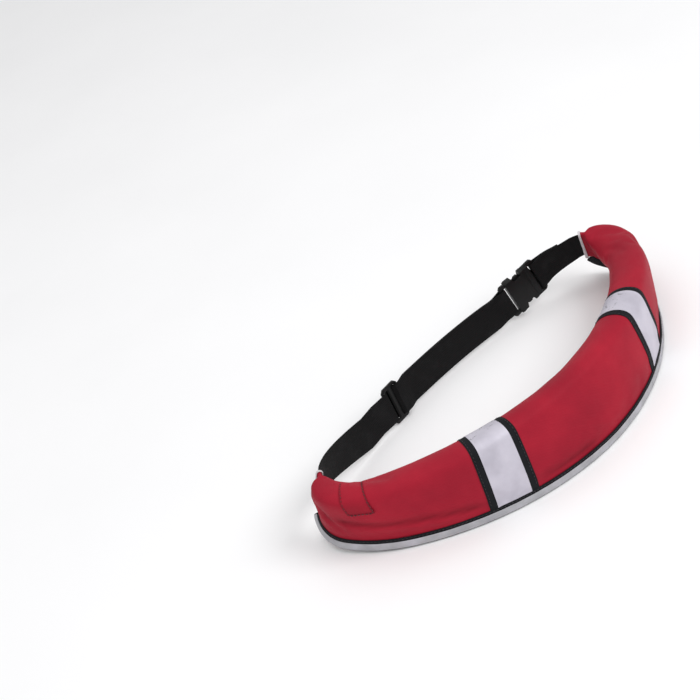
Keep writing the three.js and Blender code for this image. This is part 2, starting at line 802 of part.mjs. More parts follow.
const pouch = new THREE.Group();
pouch.add(named('pouch_shell', makePouchShell(), finish(fabricRed, 0.7)));
pouch.add(named('packed_bladder', makeBladder(), finish(bladderOrange, 0.6)));
pouch.add(named('edge_tape', makeEdgeTape(), finish(bindingBlack, 0.8)));
pouch.add(named('edge_reflective_strip', makeEdgeStrip(), finish(stripGrey, 0.45)));
pouch.add(named('end_tab', makeEndTab(), finish(fabricRed, 0.75)));
for (const [word, side] of [['left', -1], ['right', 1]]) {
  const base = makeBand(side, bandBaseWidth, gap, bandBaseThickness);
  const tape = makeBand(side, bandTapeWidth, 2 * gap + bandBaseThickness, bandTapeThickness);
  pouch.add(named(`band_base_${word}`, base, finish(bindingBlack, 0.8)));
  pouch.add(named(`band_tape_${word}`, tape, finish(reflectiveSilver, 0.4)));
  pouch.add(named(`mouth_binding_${word}`, makeMouthBinding(side), finish(hemPale, 0.8)));
}

const belt = new THREE.Group();
belt.add(named('webbing_fixed', makeFixedWebbing(), finish(webbingBlack, 0.85)));
belt.add(named('webbing_adjustable', makeAdjustableWebbing(), finish(webbingBlack, 0.85)));
belt.add(onWebbing(named('buckle_socket', makeSocket(), finish(plasticBlack, 0.45)), buckleAt));
belt.add(onWebbing(named('buckle_prongs', makeProngs(), finish(plasticBlack, 0.45)), buckleAt));
belt.add(onWebbing(named('slider', makeSlider(), finish(plasticBlack, 0.45)), sliderAt));

// Centre the whole belt over the origin, with its lowest point on the ground plane.
const beltPack = new THREE.Group();
beltPack.add(pouch, belt);
beltPack.updateMatrixWorld(true);
const bounds = new THREE.Box3().setFromObject(beltPack, true);
const middle = bounds.getCenter(new THREE.Vector3());
beltPack.position.set(-middle.x, -middle.y, -bounds.min.z);
beltPack.updateMatrixWorld(true);

export default beltPack;
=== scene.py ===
"""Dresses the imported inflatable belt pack: sewn fabric, bindings, reflective bands, webbing and buckle.

Lengths are metres and angles are radians unless a name says otherwise. Distances along the pouch
run from the front centre, negative towards the left mouth, and levels run down a wall from the
folded crest (0) to the seam (1).
"""

import math

import bpy
import numpy as np
from bpy.props import FloatProperty, FloatVectorProperty, IntProperty, PointerProperty
from mathutils import Matrix, Vector, noise
from mathutils.bvhtree import BVHTree


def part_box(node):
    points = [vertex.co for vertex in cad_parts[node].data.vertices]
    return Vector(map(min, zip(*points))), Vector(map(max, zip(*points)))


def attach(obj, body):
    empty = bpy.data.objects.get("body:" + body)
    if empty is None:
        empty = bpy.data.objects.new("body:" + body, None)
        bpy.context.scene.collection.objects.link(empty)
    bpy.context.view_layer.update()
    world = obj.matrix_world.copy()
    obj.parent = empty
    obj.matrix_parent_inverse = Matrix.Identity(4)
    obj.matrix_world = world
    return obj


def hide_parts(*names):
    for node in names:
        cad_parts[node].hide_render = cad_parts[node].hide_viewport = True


bl_info = {
    "name": "Inflatable Belt Pack",
    "version": (1, 0, 0),
    "blender": (4, 5, 0),
    "location": "View3D > Sidebar > Belt Pack",
    "description": "Builds the fabric, trim and hardware of an inflatable belt pack on its packed frame",
    "category": "Object",
}

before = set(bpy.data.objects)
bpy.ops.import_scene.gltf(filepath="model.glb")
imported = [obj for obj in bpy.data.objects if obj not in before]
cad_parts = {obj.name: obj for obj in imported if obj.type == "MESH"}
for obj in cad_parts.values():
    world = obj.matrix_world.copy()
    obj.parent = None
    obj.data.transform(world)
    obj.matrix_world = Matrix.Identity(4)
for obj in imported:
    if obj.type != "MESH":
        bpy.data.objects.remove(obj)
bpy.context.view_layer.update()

UP = Vector((0, 0, 1))

# The pouch's form, as in the frame's source. Each half of the plan turns through three arcs.
PLAN_ARCS = (
    (0.324, math.radians(39.5)),
    (0.146, math.radians(24.5)),
    (0.032, math.radians(64.5)),
)
HALF_LENGTH = sum(radius * turn for radius, turn in PLAN_ARCS)
NECK_LENGTH = 0.008
EDGE_END = HALF_LENGTH - NECK_LENGTH
FABRIC_WALL = 0.0012
FRONT_HEIGHT = 0.0865
END_HEIGHT = 0.064
FRONT_SWELL = 0.0305
BACK_SWELL = 0.0205
NOSE_HEIGHT = 0.016
FRONT_LEAN = math.radians(38)
MOUTH_LEAN = math.radians(19)
LEAN_POWER = 1.5
END_FLARE = math.radians(15)
REST_HALF_LENGTH = 0.19
MOUTH_RISE = 0.0046
SEAM_CURVE = 1.2
CORNER_LENGTH = 0.038
CORNER_POWER = 2.15
ROUND_LENGTH = 0.05
MOUTH_HEIGHT = 0.0472
MOUTH_HALF_DEPTH = 0.0027
EDGE_HEIGHT = 0.015
EDGE_TAPE_HALF = 0.00255
FLANGE_HEIGHT = 0.0136
MAX_EDGE_TURN = math.radians(60)
BAND_CENTRE = 0.120
TAB_CENTRE = -0.270
TAB_LENGTH = 0.026
TAB_TOP = 0.04
TAB_BOTTOM = 0.55
TAB_SLANT = 0.010

# The webbing's form, as in the frame's source.
WEBBING_WIDTH = 0.040
WEBBING_THICKNESS = 0.0018
WEBBING_INSIDE = 0.030
STRAP_PULL = 0.21
STRAP_SETTLE = 1.45
STRAP_SAG_POWER = 1.15
STRAP_LEAN = math.radians(9)
BUCKLE_AT = 0.079
SOCKET_LENGTH = 0.030
BASE_LENGTH = 0.008
BAR_LENGTH = 0.005
SLOT_LENGTH = 0.005
BUCKLE_PLATE_THICKNESS = 0.004
SLIDER_AT = 0.326
SLIDER_LENGTH = 0.028
SLIDER_WIDTH = 0.050
SLIDER_THICKNESS = 0.003
SLIDER_OUTER_BAR = 0.004
SLIDER_CENTRE_BAR = 0.005
CLEARANCE = 0.00035
STRAIGHTEN_OVER = 0.030

# Soft creases of the front wall, each a line through (distance, level) points, with its depth, its
# half width and the height of the ridge just below it.
CREASES = (
    (((-0.291, 0.66), (-0.255, 0.75), (-0.200, 0.83), (-0.150, 0.93)), 0.0026, 0.0042, 0.0012),
    (((-0.092, 0.93), (-0.060, 0.95), (-0.020, 0.965)), 0.0020, 0.0036, 0.0008),
    (((-0.318, 0.30), (-0.300, 0.33)), 0.0018, 0.0020, 0.0005),
    (((-0.300, 0.50), (-0.294, 0.72), (-0.286, 0.84)), 0.0016, 0.0026, 0.0004),
    (((-0.284, 0.56), (-0.281, 0.76)), 0.0012, 0.0022, 0.0003),
    (((0.262, 0.30), (0.240, 0.55), (0.205, 0.80)), 0.0018, 0.0060, 0.0006),
    (((0.296, 0.40), (0.288, 0.75)), 0.0015, 0.0030, 0.0004),
)
DEEPEST_FOLD = max(depth for _, depth, _, _ in CREASES)

# How the cloth layers lie: their thicknesses, and how far each stands off the cover's skin.
COVER_THICKNESS = 0.9 * FABRIC_WALL
EDGE_TAPE_THICKNESS = 0.0009
EDGING_THICKNESS = 0.0004
BAND_BASE_LIFT = 0.0006
BAND_BASE_THICKNESS = 0.0005
BAND_TAPE_LIFT = 0.0011
BAND_TAPE_THICKNESS = 0.0004
TAB_LIFT = 0.0009
TAB_THICKNESS = 0.0007
HEM_THICKNESS = 0.0006

# The cloth that the bands and the tab are cut from, and where each band meets the seam: the last
# level on the wall, and the level past it that lies 1.5 mm down the seam allowance.
BAND_SEAM = 0.998
BAND_FOOT = 1.0015

# The tab's two rows of stitches, as (distance, level) points. The first runs down the left side, along
# the foot and up the right side, the second down the right edge and back along the foot.
TAB_LEFT, TAB_RIGHT, TAB_RIM = (TAB_CENTRE + part * TAB_LENGTH for part in (-0.43, 0.45, 0.48))
TAB_SEAM_TOP = TAB_TOP + 0.02
TAB_SEAM_FOOT = TAB_BOTTOM - 0.02
TAB_RIM_FOOT = TAB_BOTTOM - 0.005
TAB_SEAM = (
    (
        (TAB_LEFT, TAB_SEAM_TOP),
        (TAB_LEFT + TAB_SLANT, TAB_SEAM_FOOT),
        (TAB_RIGHT + TAB_SLANT, TAB_SEAM_FOOT),
        (TAB_RIGHT, TAB_SEAM_TOP),
    ),
    (
        (TAB_RIM, TAB_SEAM_TOP),
        (TAB_RIM + TAB_SLANT, TAB_RIM_FOOT),
        (TAB_LEFT + TAB_SLANT, TAB_RIM_FOOT),
    ),
)

# How much more closely sections stand towards the pouch's ends than at its middle, from 0 to 1.
END_CROWDING = 0.86

# Corners of a seam that are nearer than this are one corner.
MERGE_WITHIN = 0.00005

# The pouch's two sides as seen from the front, with the sign of a distance on each.
SIDES = (("left", -1), ("right", 1))


def linear(hex_colour):
    """An sRGB hex colour as linear red, green and blue."""
    channels = [int(hex_colour[i : i + 2], 16) / 255 for i in (1, 3, 5)]
    return tuple(c / 12.92 if c <= 0.04045 else ((c + 0.055) / 1.055) ** 2.4 for c in channels)


def share(value, start, end):
    return min(1.0, max(0.0, (value - start) / (end - start)))


def mix(a, b, part):
    return a + (b - a) * part


def smooth(part):
    return part * part * (3 - 2 * part)


# The pouch's form


def plan_point(distance):
    """Plan position and heading at a distance along the crest."""
    side = -1 if distance < 0 else 1
    left = abs(distance)
    x = y = heading = 0.0
    for radius, turn in PLAN_ARCS:
        run = min(left, radius * turn)
        ahead = heading + run / radius
        x += radius * (math.sin(ahead) - math.sin(heading))
        y += radius * (math.cos(heading) - math.cos(ahead))
        heading = ahead
        left -= run
    x += left * math.cos(heading)
    y += left * math.sin(heading)
    return side * x, y, side * heading


def body_height(distance):
    """The wall's height from crest to seam, without the corners cut off at the mouths."""
    reach = share(abs(distance), 0, EDGE_END - CORNER_LENGTH)
    return mix(FRONT_HEIGHT, END_HEIGHT, reach**2)


def wall_height(distance):
    """The wall's height, rounded down to the mouth's at each end."""
    corner = share(abs(distance), EDGE_END - CORNER_LENGTH, EDGE_END)
    kept = (1 - corner**CORNER_POWER) ** (1 / CORNER_POWER)
    return mix(MOUTH_HEIGHT, body_height(distance), kept)


class Section:
    """The pouch cut across at a distance along its crest."""

    def __init__(self, distance):
        x, y, heading = plan_point(distance)
        away = abs(distance)
        reach = share(away, 0, HALF_LENGTH)
        lean = mix(FRONT_LEAN, MOUTH_LEAN, reach**LEAN_POWER)
        self.distance = distance
        self.outward = Vector((math.sin(heading), -math.cos(heading), 0))
        self.along = Vector((math.cos(heading), math.sin(heading), 0))
        self.down = self.outward * math.sin(lean) - UP * math.cos(lean)
        self.out = self.outward * math.cos(lean) + UP * math.sin(lean)
        rise = MOUTH_RISE * share(away, REST_HALF_LENGTH, HALF_LENGTH) ** 2
        crest_z = rise + EDGE_HEIGHT + body_height(distance) * math.cos(lean)
        self.crest = Vector((x + FRAME_X, y + FRAME_Y, crest_z))
        self.height = wall_height(distance)
        fullness = share(EDGE_END - away, 0, ROUND_LENGTH)
        swell = math.sqrt(1 - (1 - fullness) ** 2)
        probe = 0.0005
        steepness = (wall_height(distance - probe) - wall_height(distance + probe)) / (2 * probe)
        turn = max(-MAX_EDGE_TURN, min(MAX_EDGE_TURN, math.atan(steepness)))
        self.has_edge = away < EDGE_END
        self.edge_down = self.down
        self.edge_out = self.out
        if self.has_edge:
            straight = self.along * math.sin(turn) - UP * math.cos(turn)
            flare = END_FLARE * reach**3
            self.edge_down = straight * math.cos(flare) + self.outward * math.sin(flare)
            self.edge_out = self.outward * math.cos(flare) - straight * math.sin(flare)
        self.front_depth = mix(MOUTH_HALF_DEPTH, FRONT_SWELL, swell)
        self.back_depth = mix(MOUTH_HALF_DEPTH, BACK_SWELL, swell)
        self.seam_half = mix(MOUTH_HALF_DEPTH, FABRIC_WALL, math.sqrt(swell))
        self.nose = mix(MOUTH_HALF_DEPTH, NOSE_HEIGHT, swell)
        self.seam = self.crest + self.down * self.height

    def profile(self, front, steps=24):
        """Points (drop, depth) down one wall from the crest to the seam."""
        half = self.front_depth if front else self.back_depth
        points = []
        for i in range(steps + 1):
            turn = math.pi / 2 * i / steps
            points.append((self.nose * (1 - math.cos(turn)), half * math.sin(turn)))
        fall = self.height - self.nose
        for i in range(1, steps + 1):
            part = i / steps
            depth = self.seam_half + (half - self.seam_half) * (1 - part**SEAM_CURVE)
            points.append((self.nose + fall * part, depth))
        return np.array(points)

    def wall(self, level, front, lift=0.0):
        """A point at a level of one wall, with the length of fabric from the crest to it."""
        points = self.profile(front)
        runs = np.concatenate([[0], np.cumsum(np.hypot(*np.diff(points, axis=0).T))])
        run = level * runs[-1]
        drop = np.interp(run, runs, points[:, 0])
        depth = np.interp(run, runs, points[:, 1])
        side = 1 if front else -1
        return self.crest + self.down * drop + self.out * (side * (depth + lift)), run

    def edge(self, drop, depth):
        """A point on the bound edge, below the seam and out from its middle."""
        return self.seam + self.edge_down * drop + self.edge_out * depth


def frame_depth():
    """How far back the frame's source was moved to centre it, found from the bound edge's front."""
    seam_y = -FRONT_HEIGHT * math.sin(FRONT_LEAN)
    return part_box("edge_tape")[0][1] - (seam_y - EDGE_TAPE_HALF)


FRAME_X = sum(corner[0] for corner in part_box("pouch_shell")) / 2
FRAME_Y = frame_depth()


def spread(start, end, count):
    return [mix(start, end, i / (count - 1)) for i in range(count)]


def pouch_distances(count, end=HALF_LENGTH):
    """Distances along the pouch, closer together round its two ends."""
    turns = [math.pi / 2 * part * END_CROWDING for part in spread(-1, 1, count)]
    return [end * math.sin(turn) / math.sin(math.pi / 2 * END_CROWDING) for turn in turns]


# Building


def active_only(piece):
    bpy.ops.object.select_all(action="DESELECT")
    piece.select_set(True)
    bpy.context.view_layer.objects.active = piece


def lay_grid(name, rows, columns, place):
    """A cloth grid whose corners are put in place by row and column, with its own map in metres.

    place gives a corner's position and its place on the flat cloth.
    """
    bpy.ops.object.select_all(action="DESELECT")
    bpy.ops.mesh.primitive_grid_add(x_subdivisions=columns - 1, y_subdivisions=rows - 1, size=1)
    piece = bpy.context.object
    piece.name = piece.data.name = name
    mesh = piece.data
    flat = []
    for vertex in mesh.vertices:
        column = round((vertex.co.x + 0.5) * (columns - 1))
        row = round((vertex.co.y + 0.5) * (rows - 1))
        position, on_cloth = place(row, column)
        vertex.co = position
        flat.append(on_cloth)
    for loop in mesh.loops:
        mesh.uv_layers[0].data[loop.index].uv = flat[loop.vertex_index]
    return piece


def apply_modifier(piece, kind, **settings):
    active_only(piece)
    modifier = piece.modifiers.new(kind.title(), kind)
    for name, value in settings.items():
        setattr(modifier, name, value)
    bpy.ops.object.modifier_apply(modifier=modifier.name)


def edit_all(piece, *steps):
    """Runs mesh operators on everything in the piece."""
    active_only(piece)
    bpy.ops.object.mode_set(mode="EDIT")
    bpy.ops.mesh.select_all(action="SELECT")
    for operator, settings in steps:
        operator(**settings)
    bpy.ops.object.mode_set(mode="OBJECT")


def path_runs(path):
    """The length of a line of points from its start to each of them."""
    runs = [0.0]
    for before, after in zip(path, path[1:]):
        runs.append(runs[-1] + math.dist(before, after))
    return runs


def finish_piece(piece, node, slot_name, smooth_angle=math.radians(40), material_name=None):
    """Gives a piece its shading, material and body, and hides the solid it stands for.

    The material is the one named for the slot, unless another is named.
    """
    edit_all(piece, (bpy.ops.mesh.normals_make_consistent, {"inside": False}))
    bpy.ops.object.shade_smooth_by_angle(angle=smooth_angle)
    piece.data.materials.clear()
    piece.data.materials.append(material_named(material_name or slot_name))
    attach(piece, "root")
    if node:
        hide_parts(node)


def surface_of(piece):
    """A piece's skin for finding the nearest point and its outward direction."""
    corners = [vertex.co.copy() for vertex in piece.data.vertices]
    return BVHTree.FromPolygons(corners, [tuple(face.vertices) for face in piece.data.polygons])


def add_fold_shade(piece, folds):
    """Keeps a painted shade for each corner, from 0 to 1, such as how deep in a fold it lies, for the fabric
    to darken by.
    """
    piece.data.attributes.new("fold", "FLOAT", "POINT").data.foreach_set("value", folds)


def crease_depth(distance, level, height):
    """How far the front wall dips at a place, from the soft creases."""
    here = Vector((distance, level * height))
    fade_from, fade_to = -0.004, 0.012
    ridge_below, ridge_high, ridge_wide = 1.9, 1.4, 3
    dip = 0.0
    for line, depth, width, ridge in CREASES:
        corners = [Vector((at, down * height)) for at, down in line]
        nearest = None
        for start, end in zip(corners, corners[1:]):
            run = end - start
            part = max(0.0, min(1.0, (here - start).dot(run) / run.length_squared))
            apart = here - (start + run * part)
            if nearest is None or apart.length < nearest.length:
                nearest = apart
        to_end = min((here - corners[0]).length, (here - corners[-1]).length)
        fade = smooth(share(to_end, fade_from, fade_to))
        below = nearest.y - ridge_below * width
        over_ridge = (below / (ridge_high * width)) ** 2
        along_ridge = (nearest.x / (ridge_wide * width)) ** 2
        dip += fade * depth * math.exp(-((nearest.length / width) ** 2))
        dip -= fade * ridge * math.exp(-over_ridge - along_ridge)
    return dip


def cloth_puff(piece, pinned, belt):
    """Fills the cover with a little pressure so that its cloth settles into natural soft dents."""
    rest = [vertex.co.copy() for vertex in piece.data.vertices]
    group = piece.vertex_groups.new(name="sewn")
    for index, weight in enumerate(pinned):
        if weight > 0:
            group.add([index], weight, "REPLACE")
    active_only(piece)
    modifier = piece.modifiers.new("Cloth", "CLOTH")
    cloth = modifier.settings
    cloth.vertex_group_mass = "sewn"
    cloth.quality = 6
    cloth.mass = 0.25
    cloth.air_damping = 3
    cloth.tension_stiffness = 25
    cloth.compression_stiffness = 12
    cloth.shear_stiffness = 6
    cloth.bending_stiffness = 0.6
    cloth.use_pressure = True
    cloth.uniform_pressure_force = belt.pressure
    cloth.shrink_min = -belt.fullness
    cloth.effector_weights.gravity = 0
    modifier.collision_settings.use_collision = False
    scene = bpy.context.scene
    last_frame = 20
    modifier.point_cache.frame_start = 1
    modifier.point_cache.frame_end = last_frame
    for step in range(1, last_frame + 1):
        scene.frame_set(step)
    bpy.ops.object.modifier_apply(modifier=modifier.name)
    scene.frame_set(1)
    piece.vertex_groups.clear()
    for vertex, start in zip(piece.data.vertices, rest):
        move = vertex.co - start
        if move.length > belt.cloth_travel:
            vertex.co = start + move.normalized() * belt.cloth_travel


# Materials


def add_node(tree, kind, inputs=None, **settings):
    """Adds a shader node with its settings, and links or sets its inputs."""
    node = tree.nodes.new("ShaderNode" + kind)
    for name, value in settings.items():
        setattr(node, name, value)
    for key, value in (inputs or {}).items():
        if isinstance(value, bpy.types.NodeSocket):
            tree.links.new(value, node.inputs[key])
        else:
            node.inputs[key].default_value = value
    return node


def new_material(name, **shader_values):
    """A material with a principled shader, whose plain values are set on the shader itself."""
    material = bpy.data.materials.new(name)
    material.use_nodes = True
    shader = material.node_tree.nodes["Principled BSDF"]
    for socket, value in shader_values.items():
        shader.inputs[socket.replace("_", " ")].default_value = value
    return material, material.node_tree, shader


def opaque(colour):
    return (*colour, 1.0)


def cloth_place(tree):
    """The way along and the way across the flat cloth in metres, and both together."""
    cloth = add_node(tree, "UVMap").outputs["UV"]
    part = add_node(tree, "SeparateXYZ", {"Vector": cloth})
    return part.outputs["X"], part.outputs["Y"], cloth


def woven_height(tree, thread):
    """A plain weave's height: warp and weft threads that pass over and under each other."""
    waves = []
    for way in cloth_place(tree)[:2]:
        turn = add_node(tree, "Math", {0: way, 1: math.pi / thread}, operation="MULTIPLY")
        waves.append(add_node(tree, "Math", {0: turn.outputs[0]}, operation="SINE").outputs[0])
    return add_node(tree, "Math", {0: waves[0], 1: waves[1]}, operation="MULTIPLY").outputs[0]


def ribbed_height(tree, pitch, way):
    """Parallel ribs that follow each other along one way of the cloth."""
    turn = add_node(tree, "Math", {0: way, 1: 2 * math.pi / pitch}, operation="MULTIPLY")
    return add_node(tree, "Math", {0: turn.outputs[0]}, operation="SINE").outputs[0]


def cloudy(tree, size, detail=3.0, roughness=0.5):
    """A soft pattern in the solid, whose patches are about a size across."""
    place = add_node(tree, "TexCoord").outputs["Object"]
    inputs = {"Vector": place, "Scale": 1 / size, "Detail": detail, "Roughness": roughness}
    return add_node(tree, "TexNoise", inputs).outputs["Fac"]


def uneven_colour(tree, pattern, colours, full=0.7):
    """A colour that runs through the given ones as a pattern rises to its full value."""
    least = 0.3
    ramp = add_node(tree, "ValToRGB", {"Fac": pattern})
    stops = ramp.color_ramp.elements
    stops[0].position, stops[1].position = least, full
    stops[0].color, stops[1].color = opaque(colours[0]), opaque(colours[-1])
    for i, colour in enumerate(colours[1:-1], 1):
        stops.new(mix(least, full, i / (len(colours) - 1))).color = opaque(colour)
    return ramp.outputs["Color"]


def shaded(tree, colour, *patterns):
    """A colour made darker or lighter by patterns, each with its shade at 0 and at 1."""
    for pattern, at_none, at_full in patterns:
        shade = add_node(tree, "MapRange", {"Value": pattern, "To Min": at_none, "To Max": at_full})
        inputs = {0: colour, "Scale": shade.outputs["Result"]}
        colour = add_node(tree, "VectorMath", inputs, operation="SCALE").outputs[0]
    return colour


def rubbed(tree, colour, pattern, limit, fade, under):
    """A colour rubbed through to the one under it where a pattern passes a limit."""
    over = add_node(tree, "Math", {0: pattern, 1: limit}, operation="SUBTRACT").outputs[0]
    wear = add_node(tree, "MapRange", {"Value": over, "From Max": fade}).outputs["Result"]
    inputs = {"Factor": wear, "A": colour, "B": opaque(linear(under))}
    return add_node(tree, "Mix", inputs, data_type="RGBA").outputs["Result"]


def finish_surface(tree, shader, colour, gloss=None, relief=()):
    """Gives the shader its colour, its gloss and its relief.

    gloss is a pattern with the roughness at 0 and at 1. relief has a pattern, a strength and a height
    in metres for each layer, coarse ones first.
    """
    tree.links.new(colour, shader.inputs["Base Color"])
    if gloss:
        pattern, at_none, at_full = gloss
        roughness = add_node(tree, "MapRange", {"Value": pattern, "To Min": at_none, "To Max": at_full})
        tree.links.new(roughness.outputs["Result"], shader.inputs["Roughness"])
    normal = None
    for pattern, strength, height in relief:
        inputs = {"Height": pattern, "Strength": strength, "Distance": height}
        if normal:
            inputs["Normal"] = normal
        normal = add_node(tree, "Bump", inputs).outputs["Normal"]
        tree.links.new(normal, shader.inputs["Normal"])


def coated_nylon():
    """Oxford nylon with a coated back: dull red cloth, a soft sheen where it turns away, faint
    uneven dye, and a darker line of painted shade down each pressed-in fold. The weave's crests are
    painted a little lighter and its hollows a little darker. The real threads are 0.4 mm apart. They
    are drawn 1.1 mm apart, so that they show."""
    material, tree, shader = new_material(
        "coated_nylon", Sheen_Weight=0.05, Sheen_Roughness=0.4, Specular_IOR_Level=0.1, IOR=1.5
    )
    shader.inputs["Sheen Tint"].default_value = opaque(linear("#E58A98"))
    belt = belt_settings()
    dyes = (belt.fabric_deep, belt.fabric_red, belt.fabric_bright)
    dyed = uneven_colour(tree, cloudy(tree, 0.09, 4, 0.55), dyes)
    weave = woven_height(tree, 0.0011)
    # Painted shade: the cloth darkens to 0.6 of its colour deep in the folds and round the tab's rim, and the
    # weave's hollows are painted darker than its crests.
    fold = add_node(tree, "Attribute", attribute_name="fold").outputs["Fac"]
    colour = shaded(tree, dyed, (weave, 0.93, 1.05), (fold, 1.0, 0.6))
    gloss = (cloudy(tree, 0.02), 0.5, 0.66)
    relief = ((cloudy(tree, 0.016), 0.35, 0.0012), (weave, 0.35, 0.00018))
    finish_surface(tree, shader, colour, gloss, relief)
    return material


def binding_tape():
    """Polyester grosgrain: matt near-black tape with fine ribs straight across it, every 1.2 mm."""
    material, tree, shader = new_material("polyester_binding_tape", Specular_IOR_Level=0.2, IOR=1.5)
    dyes = (linear("#0F1014"), belt_settings().binding_black)
    colour = uneven_colour(tree, cloudy(tree, 0.012), dyes)
    along, _, _ = cloth_place(tree)
    relief = ((ribbed_height(tree, 0.0012, along), 0.5, 0.00015),)
    finish_surface(tree, shader, colour, (cloudy(tree, 0.006), 0.7, 0.85), relief)
    return material


def reflective_tape():
    """Glass-bead tape: silver-lilac film, satin from its beads, with fine handling creases and a
    few scuffs, most of them over the top, that let the dark backing through. The beads are drawn as
    1 mm cells."""
    material, tree, shader = new_material("glass_bead_tape", Metallic=0.25, IOR=1.5)
    place = add_node(tree, "TexCoord").outputs["Object"]
    beads = add_node(tree, "TexVoronoi", {"Vector": place, "Scale": 1000.0}).outputs["Distance"]
    handled = {"Vector": place, "Scale": 110.0, "Detail": 6.0, "Roughness": 0.7, "Distortion": 1.2}
    worn = add_node(tree, "TexNoise", handled).outputs["Fac"]
    _, across, _ = cloth_place(tree)
    from_top = add_node(tree, "Math", {0: across}, operation="ABSOLUTE").outputs[0]
    downwards = {"Value": from_top, "From Min": 0.008, "From Max": 0.045, "To Min": 0.535, "To Max": 0.72}
    limit = add_node(tree, "MapRange", downwards).outputs["Result"]
    films = (linear("#B7B3BF"), belt_settings().tape_silver, linear("#CCC8D3"))
    film = uneven_colour(tree, cloudy(tree, 0.03), films)
    colour = rubbed(tree, film, worn, limit, 0.05, "#8C8A92")
    cells = {"Vector": place, "Scale": 70.0, "Randomness": 1.0}
    to_line = add_node(tree, "TexVoronoi", cells, feature="DISTANCE_TO_EDGE").outputs["Distance"]
    crease = add_node(tree, "MapRange", {"Value": to_line, "From Max": 0.08}).outputs["Result"]
    relief = ((crease, 0.12, 0.0006), (beads, 0.25, 0.0001))
    finish_surface(tree, shader, colour, (beads, 0.42, 0.58), relief)
    return material


def reflective_edging():
    """Glass-bead edging: greyer than the bands, rubbed down to its dark cloth in specks, more so
    towards the right end."""
    material, tree, shader = new_material("glass_bead_edging", Metallic=0.25, IOR=1.5)
    along, _, flat = cloth_place(tree)
    grit = {"Vector": flat, "Scale": 420.0, "Detail": 4.0, "Roughness": 0.65}
    specks = add_node(tree, "TexNoise", grit).outputs["Fac"]
    to_right = {"Value": along, "From Min": 0.0, "From Max": 0.2, "To Min": 0.68, "To Max": 0.5}
    limit = add_node(tree, "MapRange", to_right).outputs["Result"]
    films = (linear("#9B9BA1"), belt_settings().edging_grey, linear("#B9B8C0"))
    film = uneven_colour(tree, cloudy(tree, 0.025), films)
    colour = rubbed(tree, film, specks, limit, 0.06, "#5A5C62")
    finish_surface(tree, shader, colour, (specks, 0.42, 0.6), ((specks, 0.2, 0.0002),))
    return material


def hem_tape():
    """Cotton-rich hem binding: pale, matt, with a plain weave."""
    material, tree, shader = new_material("hem_binding_tape", Sheen_Weight=0.2, Roughness=0.85, IOR=1.5)
    dyes = (linear("#C6C1C4"), belt_settings().hem_pale)
    colour = uneven_colour(tree, cloudy(tree, 0.008), dyes)
    finish_surface(tree, shader, colour, relief=((woven_height(tree, 0.0008), 0.4, 0.00015),))
    return material


def polypropylene_webbing():
    """Woven polypropylene webbing: black, dull, with raised ribs across it every 1.3 mm and warp
    lines along it, and a faint grey bloom where hands have rubbed it."""
    material, tree, shader = new_material("polypropylene_webbing", Specular_IOR_Level=0.16, IOR=1.49)
    dyes = (linear("#0C0C0D"), belt_settings().webbing_black, linear("#181819"))
    dyed = uneven_colour(tree, cloudy(tree, 0.03), dyes, 0.72)
    along, across, _ = cloth_place(tree)
    ribs = ribbed_height(tree, 0.0013, along)
    warp = ribbed_height(tree, 0.0025, across)
    relief = ((warp, 0.35, 0.0002), (ribs, 0.6, 0.0002))
    # The ribs are painted lighter on their crests and darker between them, a painted shade of their relief.
    finish_surface(tree, shader, shaded(tree, dyed, (ribs, 0.9, 1.08)), (ribs, 0.62, 0.8), relief)
    return material


def moulded_acetal():
    """Injection-moulded acetal: black, satin, spark-textured, a little shinier in patches where it
    has been handled."""
    material, tree, shader = new_material("moulded_acetal", Specular_IOR_Level=0.28, IOR=1.48)
    blacks = (linear("#0B0B0C"), belt_settings().plastic_black)
    colour = uneven_colour(tree, cloudy(tree, 0.01), blacks)
    relief = ((cloudy(tree, 0.0007, 2), 0.25, 0.0001),)
    finish_surface(tree, shader, colour, (cloudy(tree, 0.007), 0.36, 0.52), relief)
    return material


def sewing_thread(name, hex_colour):
    """Bonded polyester thread: twisted, with a slight gloss that picks out each stitch."""
    material, tree, shader = new_material(name, IOR=1.5, Sheen_Weight=0.1)
    bright = linear(hex_colour)
    deep = tuple(0.8 * channel for channel in bright)
    colour = uneven_colour(tree, cloudy(tree, 0.002), (deep, bright))
    relief = ((cloudy(tree, 0.0005), 0.3, 0.0001),)
    finish_surface(tree, shader, colour, (cloudy(tree, 0.001), 0.45, 0.6), relief)
    return material


def bladder_film():
    """Heat-sealed polyurethane-coated cloth: orange, softly glossy, with folds from packing."""
    material, tree, shader = new_material("coated_bladder_film", IOR=1.5, Coat_Weight=0.1)
    colour = uneven_colour(tree, cloudy(tree, 0.03), (linear("#C75A20"), linear("#D9692B")))
    relief = ((cloudy(tree, 0.02, 5), 0.6, 0.002),)
    finish_surface(tree, shader, colour, (cloudy(tree, 0.01), 0.35, 0.5), relief)
    return material


def backdrop_paper():
    """Matt white paper sweep: near white, without shine, with the faintest tooth."""
    material, tree, shader = new_material(
        "backdrop_paper", Roughness=0.95, Specular_IOR_Level=0.1, IOR=1.4
    )
    colour = uneven_colour(tree, cloudy(tree, 0.3), (linear("#F7F7F8"), linear("#FAFAFB")))
    finish_surface(tree, shader, colour)
    return material


MAKERS = {
    "shell_fabric": coated_nylon,
    "edge_binding": binding_tape,
    "reflective_tape": reflective_tape,
    "reflective_edging": reflective_edging,
    "hem_binding": hem_tape,
    "belt_webbing": polypropylene_webbing,
    "moulded_plastic": moulded_acetal,
    "bladder_film": bladder_film,
    "black_thread": lambda: sewing_thread("black_polyester_thread", "#1A1B1F"),
    "red_thread": lambda: sewing_thread("red_polyester_thread", "#4A0D18"),
    "backdrop": backdrop_paper,
}
made_materials = {}


